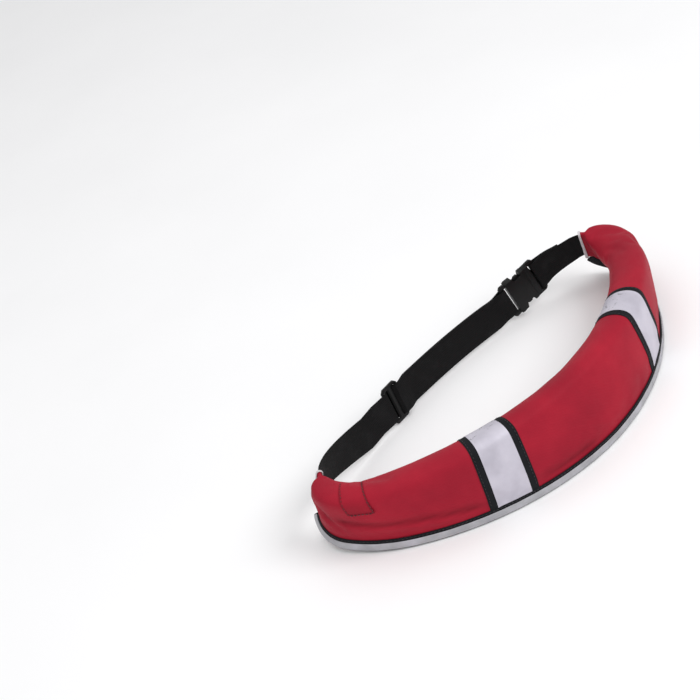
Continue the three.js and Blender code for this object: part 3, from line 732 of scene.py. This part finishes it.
def material_named(name):
    """The material of that name, made when it is first asked for."""
    if name not in made_materials:
        made_materials[name] = MAKERS[name]()
    return made_materials[name]


# Sizes and colours that a user would change


def colour_setting(name, description, hex_colour):
    return FloatVectorProperty(
        name=name, description=description, subtype="COLOR", size=3, default=linear(hex_colour)
    )


def length_setting(name, description, metres):
    return FloatProperty(name=name, description=description, unit="LENGTH", default=metres)


class BeltPackSettings(bpy.types.PropertyGroup):
    fabric_red: colour_setting("Fabric", "Colour of the pouch fabric", "#9E1C2F")
    fabric_deep: colour_setting("Deep fabric", "Where the dye took most", "#90192B")
    fabric_bright: colour_setting("Bright fabric", "Where the dye took least", "#AC2033")
    binding_black: colour_setting("Binding", "Colour of the binding tape", "#16171C")
    tape_silver: colour_setting("Bands", "Colour of the reflective bands", "#C4C0CC")
    edging_grey: colour_setting("Edging", "Colour of the reflective edging", "#A9A9AD")
    hem_pale: colour_setting("Hem", "Colour of the mouth bindings", "#D9D6DA")
    webbing_black: colour_setting("Webbing", "Colour of the webbing", "#0D0D0E")
    plastic_black: colour_setting("Plastic", "Colour of the buckle and slider", "#0B0B0C")
    pressure: FloatProperty(
        name="Pressure", description="Push of the filling on the cover", default=1.2, min=0
    )
    fullness: FloatProperty(
        name="Spare cloth", description="Share by which the cloth outgrows the form", default=0.012, min=0
    )
    cloth_travel: length_setting("Cloth travel", "Furthest that the cloth may settle", 0.0028)
    cover_columns: IntProperty(
        name="Columns", description="Cloth squares along the pouch", default=150, min=20
    )
    cover_rows: IntProperty(
        name="Rows", description="Cloth squares down each wall", default=22, min=6
    )
    stitch_length: length_setting("Stitch", "Length of one stitch", 0.0032)
    stitch_space: length_setting("Stitch space", "Space between stitches", 0.0013)
    thread_radius: length_setting("Thread", "Half the thread's width", 0.00035)
    band_width: length_setting("Band base", "Width of the black band", 0.052)
    tape_width: length_setting("Band tape", "Width of the silver tape", 0.036)
    plastic_bevel: length_setting("Moulded edge", "Radius of moulded edges", 0.0006)


def belt_settings():
    return bpy.context.scene.belt_pack


# Cover


def make_cover(belt):
    """The cover's cloth, with its creases pressed in, painted shade kept along them, and its filling settled.
    """
    rows_each = belt.cover_rows
    flange_rows = 2
    neck_flange = 0.0003
    distances = pouch_distances(belt.cover_columns)
    cuts = [Section(distance) for distance in distances]
    middle = rows_each + flange_rows
    rows = 2 * middle + 1
    folds = [0.0] * (rows * len(distances))

    def place(row, column):
        cut = cuts[column]
        front = row < middle
        step = abs(row - middle)
        side = -1 if front else 1
        level = min(1.0, step / rows_each)
        position, run = cut.wall(level, front)
        if step > rows_each:
            part = (step - rows_each) / flange_rows
            flange = FLANGE_HEIGHT if cut.has_edge else neck_flange
            position = cut.edge(flange * part, -side * COVER_THICKNESS)
            run += flange * part
        elif front:
            dip = crease_depth(cut.distance, level, run / max(level, 0.01))
            # Painted shade: the cloth here is darkened by how deep the crease dips.
            folds[row * len(distances) + column] = max(0.0, dip) / DEEPEST_FOLD
            position = position - cut.out * dip
        return position, (cut.distance, side * run)

    cover = lay_grid("pouch_cover", rows, len(distances), place)
    add_fold_shade(cover, folds)
    unevenness, bumps_per_metre = 0.0004, 38
    for vertex in cover.data.vertices:
        vertex.co += noise.noise_vector(vertex.co * bumps_per_metre) * unevenness
    cloth_puff(cover, held_weights(rows, middle, rows_each, distances), belt)
    apply_modifier(cover, "SUBSURF", levels=1, render_levels=1)
    return cover


def held_weights(rows, middle, rows_each, distances):
    """How firmly each corner of the cover is held: sewn at seams and mouths, free between them."""
    mouth_end, near_seam, near_mouth = 0.03, 0.12, 0.08
    beside_seam, everywhere = 0.35, 0.02
    weights = []
    for row in range(rows):
        step = abs(row - middle)
        to_seam = (rows_each - step) / rows_each
        for distance in distances:
            to_mouth = (HALF_LENGTH - abs(distance)) / HALF_LENGTH
            sewn = 1.0 if step >= rows_each or to_mouth < mouth_end else 0.0
            near = max(1 - to_seam / near_seam, 1 - to_mouth / near_mouth, 0.0)
            weights.append(max(sewn, beside_seam * near, everywhere))
    return weights


class BELT_OT_cover(bpy.types.Operator):
    """Sews the red pouch cover with its soft creases"""

    bl_idname = "belt.cover"
    bl_label = "Pouch cover"

    def execute(self, context):
        cover = make_cover(belt_settings())
        skin = cover.copy()
        skin.data = cover.data.copy()
        skin.name = "cover_skin"
        bpy.context.collection.objects.link(skin)
        apply_modifier(cover, "SOLIDIFY", thickness=COVER_THICKNESS, offset=-1)
        finish_piece(cover, "pouch_shell", "shell_fabric")
        return {"FINISHED"}


def cover_skin():
    return bpy.data.objects["cover_skin"]


def settle_on_cover(piece, height):
    """Lays a flat piece on the cover's own skin at a height above it."""
    apply_modifier(
        piece,
        "SHRINKWRAP",
        target=cover_skin(),
        wrap_method="NEAREST_SURFACEPOINT",
        wrap_mode="ABOVE_SURFACE",
        offset=height,
    )


def wall_strip(name, middle, width, columns, levels, height):
    """A strip of cloth laid on the cover. levels run from the front seam (-1) over the crest (0) to
    the back seam (1), and what a level has beyond 1 is metres down the seam allowance."""
    cuts = [Section(distance) for distance in spread(middle - width / 2, middle + width / 2, columns)]

    def place(row, column):
        cut = cuts[column]
        level = levels[row]
        position, run = cut.wall(min(1.0, abs(level)), level < 0, height)
        drop = max(0.0, abs(level) - 1)
        if drop:
            position = cut.edge(drop, math.copysign(FABRIC_WALL, -level))
        return position, (cut.distance, math.copysign(run + drop, level))

    piece = lay_grid(name, len(levels), columns, place)
    settle_on_cover(piece, height)
    return piece


class BELT_OT_bladder(bpy.types.Operator):
    """Packs the folded bladder inside the cover"""

    bl_idname = "belt.bladder"
    bl_label = "Packed bladder"

    def execute(self, context):
        end = HALF_LENGTH - 0.050
        gap = 0.0055
        columns = 60
        around = 36
        top_level, level_span = 0.04, 0.78
        middle_height = 0.42
        closed_share = 0.98
        closing_run = 0.012
        cuts = [Section(distance) for distance in spread(-end, end, columns)]

        def place(row, column):
            cut = cuts[column]
            front = row <= around / 2
            level = 0.5 - 0.5 * math.cos(2 * math.pi * row / around)
            position, run = cut.wall(top_level + level_span * level, front)
            inward = cut.crest + cut.down * (cut.height * middle_height) - position
            open_share = smooth(share(end - abs(cut.distance), 0, closing_run))
            closed = inward.length * closed_share
            position = position + inward.normalized() * mix(closed, gap, open_share)
            return position, (cut.distance, run if front else -run)

        bladder = lay_grid("folded_bladder", around + 1, columns, place)
        edit_all(bladder, (bpy.ops.mesh.remove_doubles, {"threshold": MERGE_WITHIN}))
        active_only(bladder)
        bpy.ops.object.mode_set(mode="EDIT")
        bpy.ops.mesh.select_all(action="DESELECT")
        bpy.ops.mesh.select_non_manifold()
        bpy.ops.mesh.fill()
        bpy.ops.object.mode_set(mode="OBJECT")
        finish_piece(bladder, "packed_bladder", "bladder_film")
        return {"FINISHED"}


# Bound edge


def edge_cloth(name, outline, thickness):
    """A tape that follows the bound edge. outline is a line of (drop, depth) points round it."""
    end_gap = 0.0001
    waviness = 0.00012
    cuts = [Section(distance) for distance in pouch_distances(260, EDGE_END - end_gap)]
    runs = path_runs(outline)

    def place(row, column):
        cut = cuts[column]
        drop, depth = outline[row]
        wave = waviness * math.sin(cut.distance * 260) * math.sin(cut.distance * 97 + 1)
        return cut.edge(drop, depth + wave), (cut.distance, runs[row])

    tape = lay_grid(name, len(outline), len(cuts), place)
    apply_modifier(tape, "SOLIDIFY", thickness=thickness, offset=-1)
    return tape


class BELT_OT_edge(bpy.types.Operator):
    """Binds the lower edge with black tape and sews the reflective edging on its front"""

    bl_idname = "belt.edge"
    bl_label = "Bound edge"

    def execute(self, context):
        half = EDGE_TAPE_HALF
        top = 0.0012
        bottom = EDGE_HEIGHT
        corner = 0.0009
        outline = [(top, half - 0.0003), (top + 0.0006, half), (0.0045, half), (0.009, half)]
        outline += [(bottom - corner, half), (bottom - 0.3 * corner, half - 0.3 * corner)]
        outline += [(bottom, half - corner), (bottom, 0)]
        outline += [(drop, -depth) for drop, depth in reversed(outline[:-1])]
        tape = edge_cloth("edge_binding", outline[::-1], EDGE_TAPE_THICKNESS)
        finish_piece(tape, "edge_tape", "edge_binding")
        face = half + 0.0004
        crowned = [(0.0055, face), (0.0058, face + 0.0003), (0.0075, face + 0.00045)]
        crowned += [(0.0095, face + 0.0005), (0.0120, face + 0.00045), (0.0137, face + 0.0003)]
        crowned += [(0.0140, face)]
        strip = edge_cloth("edge_reflective", crowned[::-1], EDGING_THICKNESS)
        finish_piece(strip, "edge_reflective_strip", "reflective_edging")
        return {"FINISHED"}


class BELT_OT_bands(bpy.types.Operator):
    """Sews the two reflective bands over the pouch"""

    bl_idname = "belt.bands"
    bl_label = "Reflective bands"

    def execute(self, context):
        belt = belt_settings()
        levels = [-BAND_FOOT, *spread(-BAND_SEAM, BAND_SEAM, 97), BAND_FOOT]
        for word, side in SIDES:
            middle = side * BAND_CENTRE
            base = wall_strip(f"band_backing_{word}", middle, belt.band_width, 27, levels, BAND_BASE_LIFT)
            apply_modifier(base, "SOLIDIFY", thickness=BAND_BASE_THICKNESS, offset=-1)
            finish_piece(base, f"band_base_{word}", "edge_binding")
            tape = wall_strip(f"band_silver_{word}", middle, belt.tape_width, 25, levels, BAND_TAPE_LIFT)
            apply_modifier(tape, "SOLIDIFY", thickness=BAND_TAPE_THICKNESS, offset=-1)
            finish_piece(tape, f"band_tape_{word}", "reflective_tape")
        return {"FINISHED"}


class BELT_OT_tab(bpy.types.Operator):
    """Sews the red tab near the left mouth, with its lower end standing a little free"""

    bl_idname = "belt.tab"
    bl_label = "Sewn tab"

    def execute(self, context):
        columns = 19
        rows = 25
        first_lift, corner_lift, middle_puff = 0.0008, 0.0016, 0.0007
        shade_from, free_from, rim_from = 0.5, 0.7, 0.9
        left_share = 0.35
        places = spread(-0.5, 0.5, columns)

        def place(row, column):
            level = mix(TAB_BOTTOM, TAB_TOP, row / (rows - 1))
            slant = TAB_SLANT * (level - TAB_TOP) / (TAB_BOTTOM - TAB_TOP)
            cut = Section(TAB_CENTRE + places[column] * TAB_LENGTH + slant)
            position, run = cut.wall(level, True, first_lift)
            return position, (cut.distance, -run)

        tab = lay_grid("end_tab_cloth", rows, columns, place)
        settle_on_cover(tab, TAB_LIFT)
        # Painted shade: the tab's cloth is darkened along its rim, and a little towards its loose lower end.
        folds = []
        for index, vertex in enumerate(tab.data.vertices):
            row, column = divmod(index, columns)
            low = 1 - row / (rows - 1)
            right = column / (columns - 1)
            rim = smooth(share(max(low, right, 1 - right), rim_from, 1.0))
            folds.append(min(1.0, rim + 0.4 * smooth(share(low, shade_from, rim_from))))
            lift = corner_lift * smooth(share(low, free_from, 1.0)) * mix(left_share, 1.0, right)
            puff = middle_puff * math.sin(math.pi * min(1, low * 1.4)) * math.sin(math.pi * right)
            vertex.co += Section(TAB_CENTRE).out * (lift + puff)
        add_fold_shade(tab, folds)
        apply_modifier(tab, "SOLIDIFY", thickness=TAB_THICKNESS, offset=-1)
        apply_modifier(tab, "BEVEL", width=0.0002, segments=1, limit_method="ANGLE")
        finish_piece(tab, "end_tab", "shell_fabric")
        return {"FINISHED"}


class BELT_OT_mouths(bpy.types.Operator):
    """Binds both mouths of the pouch with pale tape"""

    bl_idname = "belt.mouths"
    bl_label = "Mouth bindings"

    def execute(self, context):
        each = 26
        width = 0.0026
        stand_off = 0.0002
        wall_cloth = 0.05
        crown = (0.0004, 0.0010, 0.0010, 0.0004)
        for word, side in SIDES:
            outer = side * HALF_LENGTH
            inner = side * (HALF_LENGTH - width)
            distances = [inner, mix(inner, outer, 0.3), mix(inner, outer, 0.7), outer]
            cuts = [Section(distance) for distance in distances]

            def place(row, column):
                cut = cuts[row]
                turn = column / each
                front = turn < 1
                level = turn if front else 2 - turn
                position, _ = cut.wall(level, front)
                centre = cut.crest + cut.down * (cut.height / 2)
                reach = cut.height / 2 - MOUTH_HALF_DEPTH
                drop = max(-reach, min(reach, (position - centre).dot(cut.down)))
                away = position - (centre + cut.down * drop)
                away = away.normalized() if away.length > 1e-6 else cut.out
                on_cloth = (level * wall_cloth * (1 if front else -1), cut.distance)
                return position + away * (crown[row] + stand_off), on_cloth

            hem = lay_grid(f"mouth_hem_{word}", len(distances), 2 * each + 1, place)
            edit_all(hem, (bpy.ops.mesh.remove_doubles, {"threshold": MERGE_WITHIN}))
            apply_modifier(hem, "SOLIDIFY", thickness=HEM_THICKNESS, offset=0)
            finish_piece(hem, f"mouth_binding_{word}", "hem_binding")
        return {"FINISHED"}


# Webbing


def square_frame(centre, direction, upwards):
    """A place on the webbing, with its ways along, up its width and out of its face."""
    along = direction.normalized()
    up = (upwards - along * upwards.dot(along)).normalized()
    return {"centre": centre, "along": along, "up": up, "out": along.cross(up)}


def pouch_frame(distance):
    """The webbing's place where it lies inside the pouch, at mid height of the mouth."""
    cut = Section(distance)
    return square_frame(cut.crest + cut.down * (MOUTH_HEIGHT / 2), cut.along, -cut.down)


class StrapRoute:
    """The webbing's way from the right mouth round the back to the left mouth."""

    samples = 2000

    def __init__(self):
        """Lays one smooth curve in plan, straight out of both mouths."""
        self.right = pouch_frame(HALF_LENGTH)
        self.left = pouch_frame(-HALF_LENGTH)
        pull = STRAP_PULL * (self.right["centre"] - self.left["centre"]).length
        start = self.right["centre"].to_2d()
        end = self.left["centre"].to_2d()
        leave = start + self.right["along"].to_2d() * pull
        arrive = end - self.left["along"].to_2d() * pull
        a, b, c, d = (np.array(corner) for corner in (start, leave, arrive, end))
        t = np.linspace(0, 1, self.samples + 1)[:, None]
        self.plan = (1 - t) ** 3 * a + 3 * (1 - t) ** 2 * t * b + 3 * (1 - t) * t**2 * c + t**3 * d
        self.runs = np.concatenate([[0], np.cumsum(np.linalg.norm(np.diff(self.plan, axis=0), axis=1))])
        self.length = self.runs[-1]

    def centre(self, distance):
        """The middle of the webbing, how far it has settled to the ground, and the part of the way."""
        part = min(1.0, max(0.0, distance / self.length))
        settled = min(1.0, STRAP_SETTLE * max(0.0, math.sin(math.pi * part)) ** STRAP_SAG_POWER)
        x = np.interp(part * self.length, self.runs, self.plan[:, 0])
        y = np.interp(part * self.length, self.runs, self.plan[:, 1])
        rest = SLIDER_WIDTH / 2 * math.cos(STRAP_LEAN) + SLIDER_THICKNESS / 2 * math.sin(STRAP_LEAN)
        return Vector((x, y, mix(self.right["centre"].z, rest, settled))), settled, part

    def free(self, distance):
        """The webbing's place as if no hardware held it straight."""
        probe = 0.001
        centre, settled, part = self.centre(distance)
        ahead = self.centre(min(distance + probe, self.length))[0]
        behind = self.centre(max(distance - probe, 0))[0]
        direction = ahead - behind
        outward = Vector((direction.y, -direction.x, 0)).normalized()
        leaned = UP * math.cos(STRAP_LEAN) + outward * math.sin(STRAP_LEAN)
        up = self.right["up"].lerp(self.left["up"], part).lerp(leaned, settled)
        return square_frame(centre, direction, up)

    def at(self, distance):
        """The webbing's place, straight where the buckle and the slider hold it."""
        if distance < 0:
            return pouch_frame(HALF_LENGTH + distance)
        if distance > self.length:
            return pouch_frame(distance - self.length - HALF_LENGTH)
        here = self.free(distance)
        lead = 0.004
        buckle_middle = BUCKLE_AT + (SOCKET_LENGTH - BASE_LENGTH) / 2
        buckle_reach = (SOCKET_LENGTH + BASE_LENGTH) / 2 + SLOT_LENGTH + BAR_LENGTH + lead
        hardware = ((buckle_middle, buckle_reach), (SLIDER_AT, SLIDER_LENGTH / 2 + lead))
        for middle, reach in hardware:
            held = self.free(middle)
            apart = distance - middle
            weight = 1 - smooth(share(abs(apart), reach, reach + STRAIGHTEN_OVER))
            here["centre"] = here["centre"].lerp(held["centre"] + held["along"] * apart, weight)
            here["along"] = here["along"].lerp(held["along"], weight)
            here["up"] = here["up"].lerp(held["up"], weight)
        return square_frame(here["centre"], here["along"], here["up"])


ROUTE = StrapRoute()
LAYER_HALF = (WEBBING_THICKNESS + CLEARANCE) / 2
WRAP_RADIUS = CLEARANCE + WEBBING_THICKNESS / 2
SOCKET_BAR = SOCKET_LENGTH + SLOT_LENGTH + BAR_LENGTH / 2
BASE_BAR = -(BASE_LENGTH + SLOT_LENGTH + BAR_LENGTH / 2)
BAR_HALF = BUCKLE_PLATE_THICKNESS / 2
BAR_WRAP = BAR_HALF + WRAP_RADIUS

# Where two layers part before a bar, how much of the fixed end is sewn flat, and how deep in a mouth
# the webbing has its stops.
PARTING = 0.014
SEWN_LENGTH = 0.026
INSIDE_DEPTHS = (0.0035, 0.007, 0.011, 0.016, 0.023, WEBBING_INSIDE)


def free_run(start, end, offset):
    """Stops along a straight run of webbing."""
    stop_space = 0.006
    count = max(1, round(abs(end - start) / stop_space))
    return [(mix(start, end, i / count), offset) for i in range(count + 1)]


def turn_about(distance, offset, radius, from_turn, to_turn, count=6):
    """Stops round a point of the loop, between two angles in degrees."""
    stops = []
    for i in range(count + 1):
        angle = math.radians(mix(from_turn, to_turn, i / count))
        stops.append((distance + radius * math.cos(angle), offset + radius * math.sin(angle)))
    return stops


def bar_turn(centre, towards, side):
    """Round a buckle bar on the side away from the incoming webbing."""
    corner = centre + towards * BAR_LENGTH / 2
    outer = 0 if towards > 0 else 180
    arrive = turn_about(corner, side * BAR_HALF, WRAP_RADIUS, side * 90, side * outer)
    leave = turn_about(corner, -side * BAR_HALF, WRAP_RADIUS, -side * outer, -side * 90)
    return arrive + leave


def ribbon(name, route):
    """A strip of webbing through (distance, offset) stops, offset outwards from the loop."""
    across = 9
    runs = path_runs(route)
    frames = [ROUTE.at(distance) for distance, _ in route]

    def place(row, column):
        here = frames[column]
        y = mix(-1, 1, row / (across - 1)) * WEBBING_WIDTH / 2
        centre = here["centre"] + here["out"] * route[column][1]
        return centre + here["up"] * y, (runs[column], y)

    piece = lay_grid(name, across, len(route), place)
    apply_modifier(piece, "SOLIDIFY", thickness=WEBBING_THICKNESS, offset=0, use_even_offset=True)
    round_edges(piece, 0.0005, 2, math.radians(60))
    return piece


def round_edges(piece, width, segments, angle):
    """Rounds the edges that turn by more than an angle."""
    apply_modifier(
        piece, "BEVEL", width=width, segments=segments, limit_method="ANGLE", angle_limit=angle
    )


def fixed_route():
    """From inside the right mouth round the plug's bar, and back to where it is sewn."""
    bar = BUCKLE_AT + BASE_BAR
    apart = bar - PARTING
    sewn_end = apart - SEWN_LENGTH
    short = 0.002
    route = [(-depth, 0) for depth in reversed(INSIDE_DEPTHS)]
    route += free_run(0, sewn_end - PARTING, 0)
    route += free_run(sewn_end, apart, -LAYER_HALF)
    route += [(bar - BAR_LENGTH / 2, -BAR_WRAP), *bar_turn(bar, 1, -1), (bar - BAR_LENGTH / 2, BAR_WRAP)]
    route += free_run(apart, sewn_end + short, LAYER_HALF)
    return route


def adjustable_route():
    """From the slider's centre bar round the socket's bar, and back through the slider to the left
    mouth. The end that is turned round the centre bar lies inside the layer that passes over it."""
    bar = BUCKLE_AT + SOCKET_BAR
    half = SLIDER_THICKNESS / 2
    inner = SLIDER_CENTRE_BAR / 2
    outer = SLIDER_LENGTH / 2
    behind = half + CLEARANCE + WEBBING_THICKNESS / 2
    stack = WEBBING_THICKNESS + CLEARANCE
    lead = outer + 0.008
    entry = SLIDER_OUTER_BAR + 0.0006
    past = outer + 0.002
    dip, drop = 0.0024, 0.0046
    near, far = SLIDER_AT - inner, SLIDER_AT + inner
    meet = SLIDER_AT - lead - PARTING / 2
    route = [(far + WRAP_RADIUS, -half)]
    route += turn_about(far, half, WRAP_RADIUS, 0, 90) + turn_about(near, half, WRAP_RADIUS, 90, 180)
    route += [(near - WRAP_RADIUS, -half), (near - dip, -behind), (near - drop, -behind - stack)]
    route += [(SLIDER_AT - past, -behind - stack)]
    route += free_run(meet, bar + PARTING, -LAYER_HALF)
    route += [(bar + BAR_LENGTH / 2, -BAR_WRAP), *bar_turn(bar, -1, -1), (bar + BAR_LENGTH / 2, BAR_WRAP)]
    route += free_run(bar + PARTING, meet, LAYER_HALF)
    route += [(SLIDER_AT - past, -behind), (SLIDER_AT - outer + entry, -behind)]
    route += turn_about(near, half, WRAP_RADIUS + stack, 180, 90)
    route += turn_about(far, half, WRAP_RADIUS + stack, 90, 0)
    route += [(SLIDER_AT + outer - entry, -behind), (SLIDER_AT + past, -behind)]
    route += free_run(SLIDER_AT + lead + PARTING, ROUTE.length, 0)
    route += [(ROUTE.length + depth, 0) for depth in INSIDE_DEPTHS]
    return route


class BELT_OT_webbing(bpy.types.Operator):
    """Threads the fixed and the adjustable webbing through the buckle and slider"""

    bl_idname = "belt.webbing"
    bl_label = "Webbing"

    def execute(self, context):
        finish_piece(ribbon("webbing_right", fixed_route()), "webbing_fixed", "belt_webbing")
        finish_piece(ribbon("webbing_left", adjustable_route()), "webbing_adjustable", "belt_webbing")
        return {"FINISHED"}


# Moulded hardware


def moulded_copy(name, node):
    """A copy of a moulded solid, its flats made whole, so that its edges can be rounded."""
    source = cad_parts[node]
    piece = source.copy()
    piece.data = source.data.copy()
    piece.name = piece.data.name = name
    piece.hide_render = piece.hide_viewport = False
    bpy.context.collection.objects.link(piece)
    edit_all(
        piece,
        (bpy.ops.mesh.remove_doubles, {"threshold": 0.00002}),
        (bpy.ops.mesh.dissolve_limited, {"angle_limit": math.radians(1)}),
    )
    return piece


class BELT_OT_hardware(bpy.types.Operator):
    """Moulds the buckle's two halves and the slider with softened edges"""

    bl_idname = "belt.hardware"
    bl_label = "Buckle and slider"

    def execute(self, context):
        for name, node in (
            ("buckle_female", "buckle_socket"),
            ("buckle_male", "buckle_prongs"),
            ("slider_frame", "slider"),
        ):
            piece = moulded_copy(name, node)
            round_edges(piece, belt_settings().plastic_bevel, 3, math.radians(25))
            finish_piece(piece, node, "moulded_plastic", math.radians(50))
        return {"FINISHED"}


# Stitching


def stitch_row(path, belt):
    """Places of single stitches along a line of (point, outward direction) pairs."""
    points = np.array([point[:] for point, _ in path])
    outs = np.array([out[:] for _, out in path])
    runs = np.concatenate([[0], np.cumsum(np.linalg.norm(np.diff(points, axis=0), axis=1))])

    def along(run, values):
        return Vector([np.interp(run, runs, values[:, axis]) for axis in range(3)])

    pitch = belt.stitch_length + belt.stitch_space
    starts = [i * pitch for i in range(int(runs[-1] / pitch))]
    return [(along(run, points), along(run + belt.stitch_length, points), along(run, outs)) for run in starts]


def sew(name, rows, material_name):
    """Joins one small rounded stitch, copied to every place, into one piece of stitching."""
    bpy.ops.object.select_all(action="DESELECT")
    bpy.ops.mesh.primitive_uv_sphere_add(segments=6, ring_count=5, radius=1)
    stitch = bpy.context.object
    shape = [vertex.co.copy() for vertex in stitch.data.vertices]
    faces = [tuple(face.vertices) for face in stitch.data.polygons]
    bpy.data.objects.remove(stitch)
    radius = belt_settings().thread_radius
    raised = 0.25
    corners = []
    polygons = []
    for start, end, out in (place for row in rows for place in row):
        run = end - start
        along = run.normalized()
        up = (out - along * out.dot(along)).normalized()
        turn = Matrix((along * (run.length / 2), along.cross(up) * radius, up * radius)).transposed()
        centre = (start + end) / 2 + up * radius * raised
        first = len(corners)
        corners += [turn @ corner + centre for corner in shape]
        polygons += [tuple(first + index for index in face) for face in faces]
    mesh = bpy.data.meshes.new(name)
    mesh.from_pydata(corners, [], polygons)
    piece = bpy.data.objects.new(name, mesh)
    bpy.context.collection.objects.link(piece)
    finish_piece(piece, None, "edge_binding", math.radians(80), material_name)


def cover_line(skin, places, height):
    """A line on the cover through (distance, level, front) places, at a height above it."""
    path = []
    over_the_top = 0.25
    for distance, level, front in places:
        cut = Section(distance)
        point, _ = cut.wall(level, front)
        nearest, normal, _, _ = skin.find_nearest(point)
        side = cut.out if front else -cut.out
        if level < over_the_top:
            side = point - (cut.crest + cut.down * cut.nose)
        normal = normal if normal.dot(side) > 0 else -normal
        path.append((nearest + normal * height, normal))
    return path


class BELT_OT_stitching(bpy.types.Operator):
    """Sews the rows of stitches along the binding, the bands and the tab"""

    bl_idname = "belt.stitching"
    bl_label = "Stitching"

    def execute(self, context):
        belt = belt_settings()
        drop, end_gap = 0.0033, 0.004
        cuts = [Section(distance) for distance in pouch_distances(200, EDGE_END - end_gap)]
        front = [(cut.edge(drop, EDGE_TAPE_HALF), cut.edge_out) for cut in cuts]
        back = [(cut.edge(drop, -EDGE_TAPE_HALF), -cut.edge_out) for cut in cuts]
        sew("binding_stitches", [stitch_row(front, belt), stitch_row(back, belt)], "black_thread")

        skin = surface_of(cover_skin())
        inset, height = 0.002, 0.0007
        rows = []
        for side in (-1, 1):
            for edge in (-1, 1):
                distance = side * BAND_CENTRE + edge * (belt.band_width / 2 - inset)
                places = [(distance, abs(level), level < 0) for level in spread(-0.96, 0.96, 90)]
                rows.append(stitch_row(cover_line(skin, places, height), belt))
        sew("band_stitches", rows, "black_thread")

        tab = surface_of(bpy.data.objects["end_tab_cloth"])
        height = 0.0010
        rows = []
        for line in TAB_SEAM:
            places = [
                (mix(start[0], end[0], part), mix(start[1], end[1], part), True)
                for start, end in zip(line, line[1:])
                for part in spread(0, 1, 12)
            ]
            rows.append(stitch_row(cover_line(tab, places, height), belt))
        sew("tab_stitches", rows, "red_thread")
        return {"FINISHED"}


# Stage


class BELT_OT_stage(bpy.types.Operator):
    """Sets the pale floor, the soft studio light and the camera"""

    bl_idname = "belt.stage"
    bl_label = "Stage"

    def execute(self, context):
        just_below = -0.0003
        bpy.ops.object.select_all(action="DESELECT")
        bpy.ops.mesh.primitive_plane_add(size=30, location=(0, 0, just_below))
        floor = bpy.context.object
        floor.name = "floor"
        floor.data.materials.append(material_named("backdrop"))

        world = bpy.data.worlds.new("studio")
        bpy.context.scene.world = world
        world.use_nodes = True
        sky = world.node_tree.nodes["Background"]
        sky.inputs["Color"].default_value = (1, 1, 1, 1)
        sky.inputs["Strength"].default_value = 0.66
        bpy.context.scene.view_settings.view_transform = "Standard"

        aim = Vector((0, -0.01, 0.05))
        for name, place, size, power in (
            ("key", (0.9, -1.9, 2.2), 1.4, 34),
            ("fill", (-2.0, -1.0, 1.4), 2.0, 7),
            ("top", (0.1, 0.3, 2.6), 2.4, 14),
        ):
            bpy.ops.object.light_add(type="AREA", location=place)
            lamp = bpy.context.object
            lamp.name = name
            lamp.data.size = size
            lamp.data.energy = power
            lamp.rotation_euler = (aim - Vector(place)).to_track_quat("-Z", "Y").to_euler()
        self.set_camera()
        return {"FINISHED"}

    def set_camera(self):
        """The photograph's viewing angle, with the aim point where the photograph has it."""
        azimuth = math.radians(-40.17)
        elevation = math.radians(35.02)
        roll = math.radians(17.83)
        distance = 1.9315
        pixels_per_metre = 858.1
        picture = 700
        sensor = 36
        aim = Vector((0, 0.014, 0.05))
        aim_pixel = (498.83, 375.41)
        focal = pixels_per_metre * distance
        facing = Vector((-math.sin(azimuth), math.cos(azimuth), 0))
        forward = facing * math.cos(elevation) - UP * math.sin(elevation)
        level = Vector((math.cos(azimuth), math.sin(azimuth), 0))
        above = level.cross(forward)
        right = level * math.cos(roll) - above * math.sin(roll)
        up = level * math.sin(roll) + above * math.cos(roll)
        turn = Matrix((right, up, -forward)).transposed()
        seen = Vector((aim_pixel[0] - picture / 2, picture / 2 - aim_pixel[1], -focal)).normalized()
        turn = turn @ seen.rotation_difference(Vector((0, 0, -1))).to_matrix()
        bpy.ops.object.camera_add()
        camera = bpy.context.object
        camera.matrix_world = Matrix.Translation(aim - forward * distance) @ turn.to_4x4()
        camera.data.sensor_width = sensor
        camera.data.lens = sensor * focal / picture
        camera.data.clip_end = 50
        bpy.context.scene.camera = camera


class BELT_PT_panel(bpy.types.Panel):
    """Lists the belt pack's pieces"""

    bl_idname = "BELT_PT_panel"
    bl_label = "Belt Pack"
    bl_space_type = "VIEW_3D"
    bl_region_type = "UI"
    bl_category = "Belt Pack"

    def draw(self, context):
        for operator in OPERATORS:
            self.layout.operator(operator.bl_idname)
        for name in BeltPackSettings.__annotations__:
            self.layout.prop(belt_settings(), name)


OPERATORS = (
    BELT_OT_cover,
    BELT_OT_bladder,
    BELT_OT_edge,
    BELT_OT_bands,
    BELT_OT_tab,
    BELT_OT_mouths,
    BELT_OT_webbing,
    BELT_OT_hardware,
    BELT_OT_stitching,
    BELT_OT_stage,
)
CLASSES = (BeltPackSettings, *OPERATORS, BELT_PT_panel)


def register():
    for cls in CLASSES:
        bpy.utils.register_class(cls)
    bpy.types.Scene.belt_pack = PointerProperty(type=BeltPackSettings)


def unregister():
    del bpy.types.Scene.belt_pack
    for cls in reversed(CLASSES):
        bpy.utils.unregister_class(cls)


def main():
    register()
    bpy.ops.belt.cover()
    bpy.ops.belt.bladder()
    bpy.ops.belt.edge()
    bpy.ops.belt.bands()
    bpy.ops.belt.tab()
    bpy.ops.belt.mouths()
    bpy.ops.belt.webbing()
    bpy.ops.belt.hardware()
    bpy.ops.belt.stitching()
    bpy.ops.belt.stage()
    bpy.data.objects.remove(cover_skin())
    bpy.context.view_layer.update()


if __name__ == "__main__":
    main()
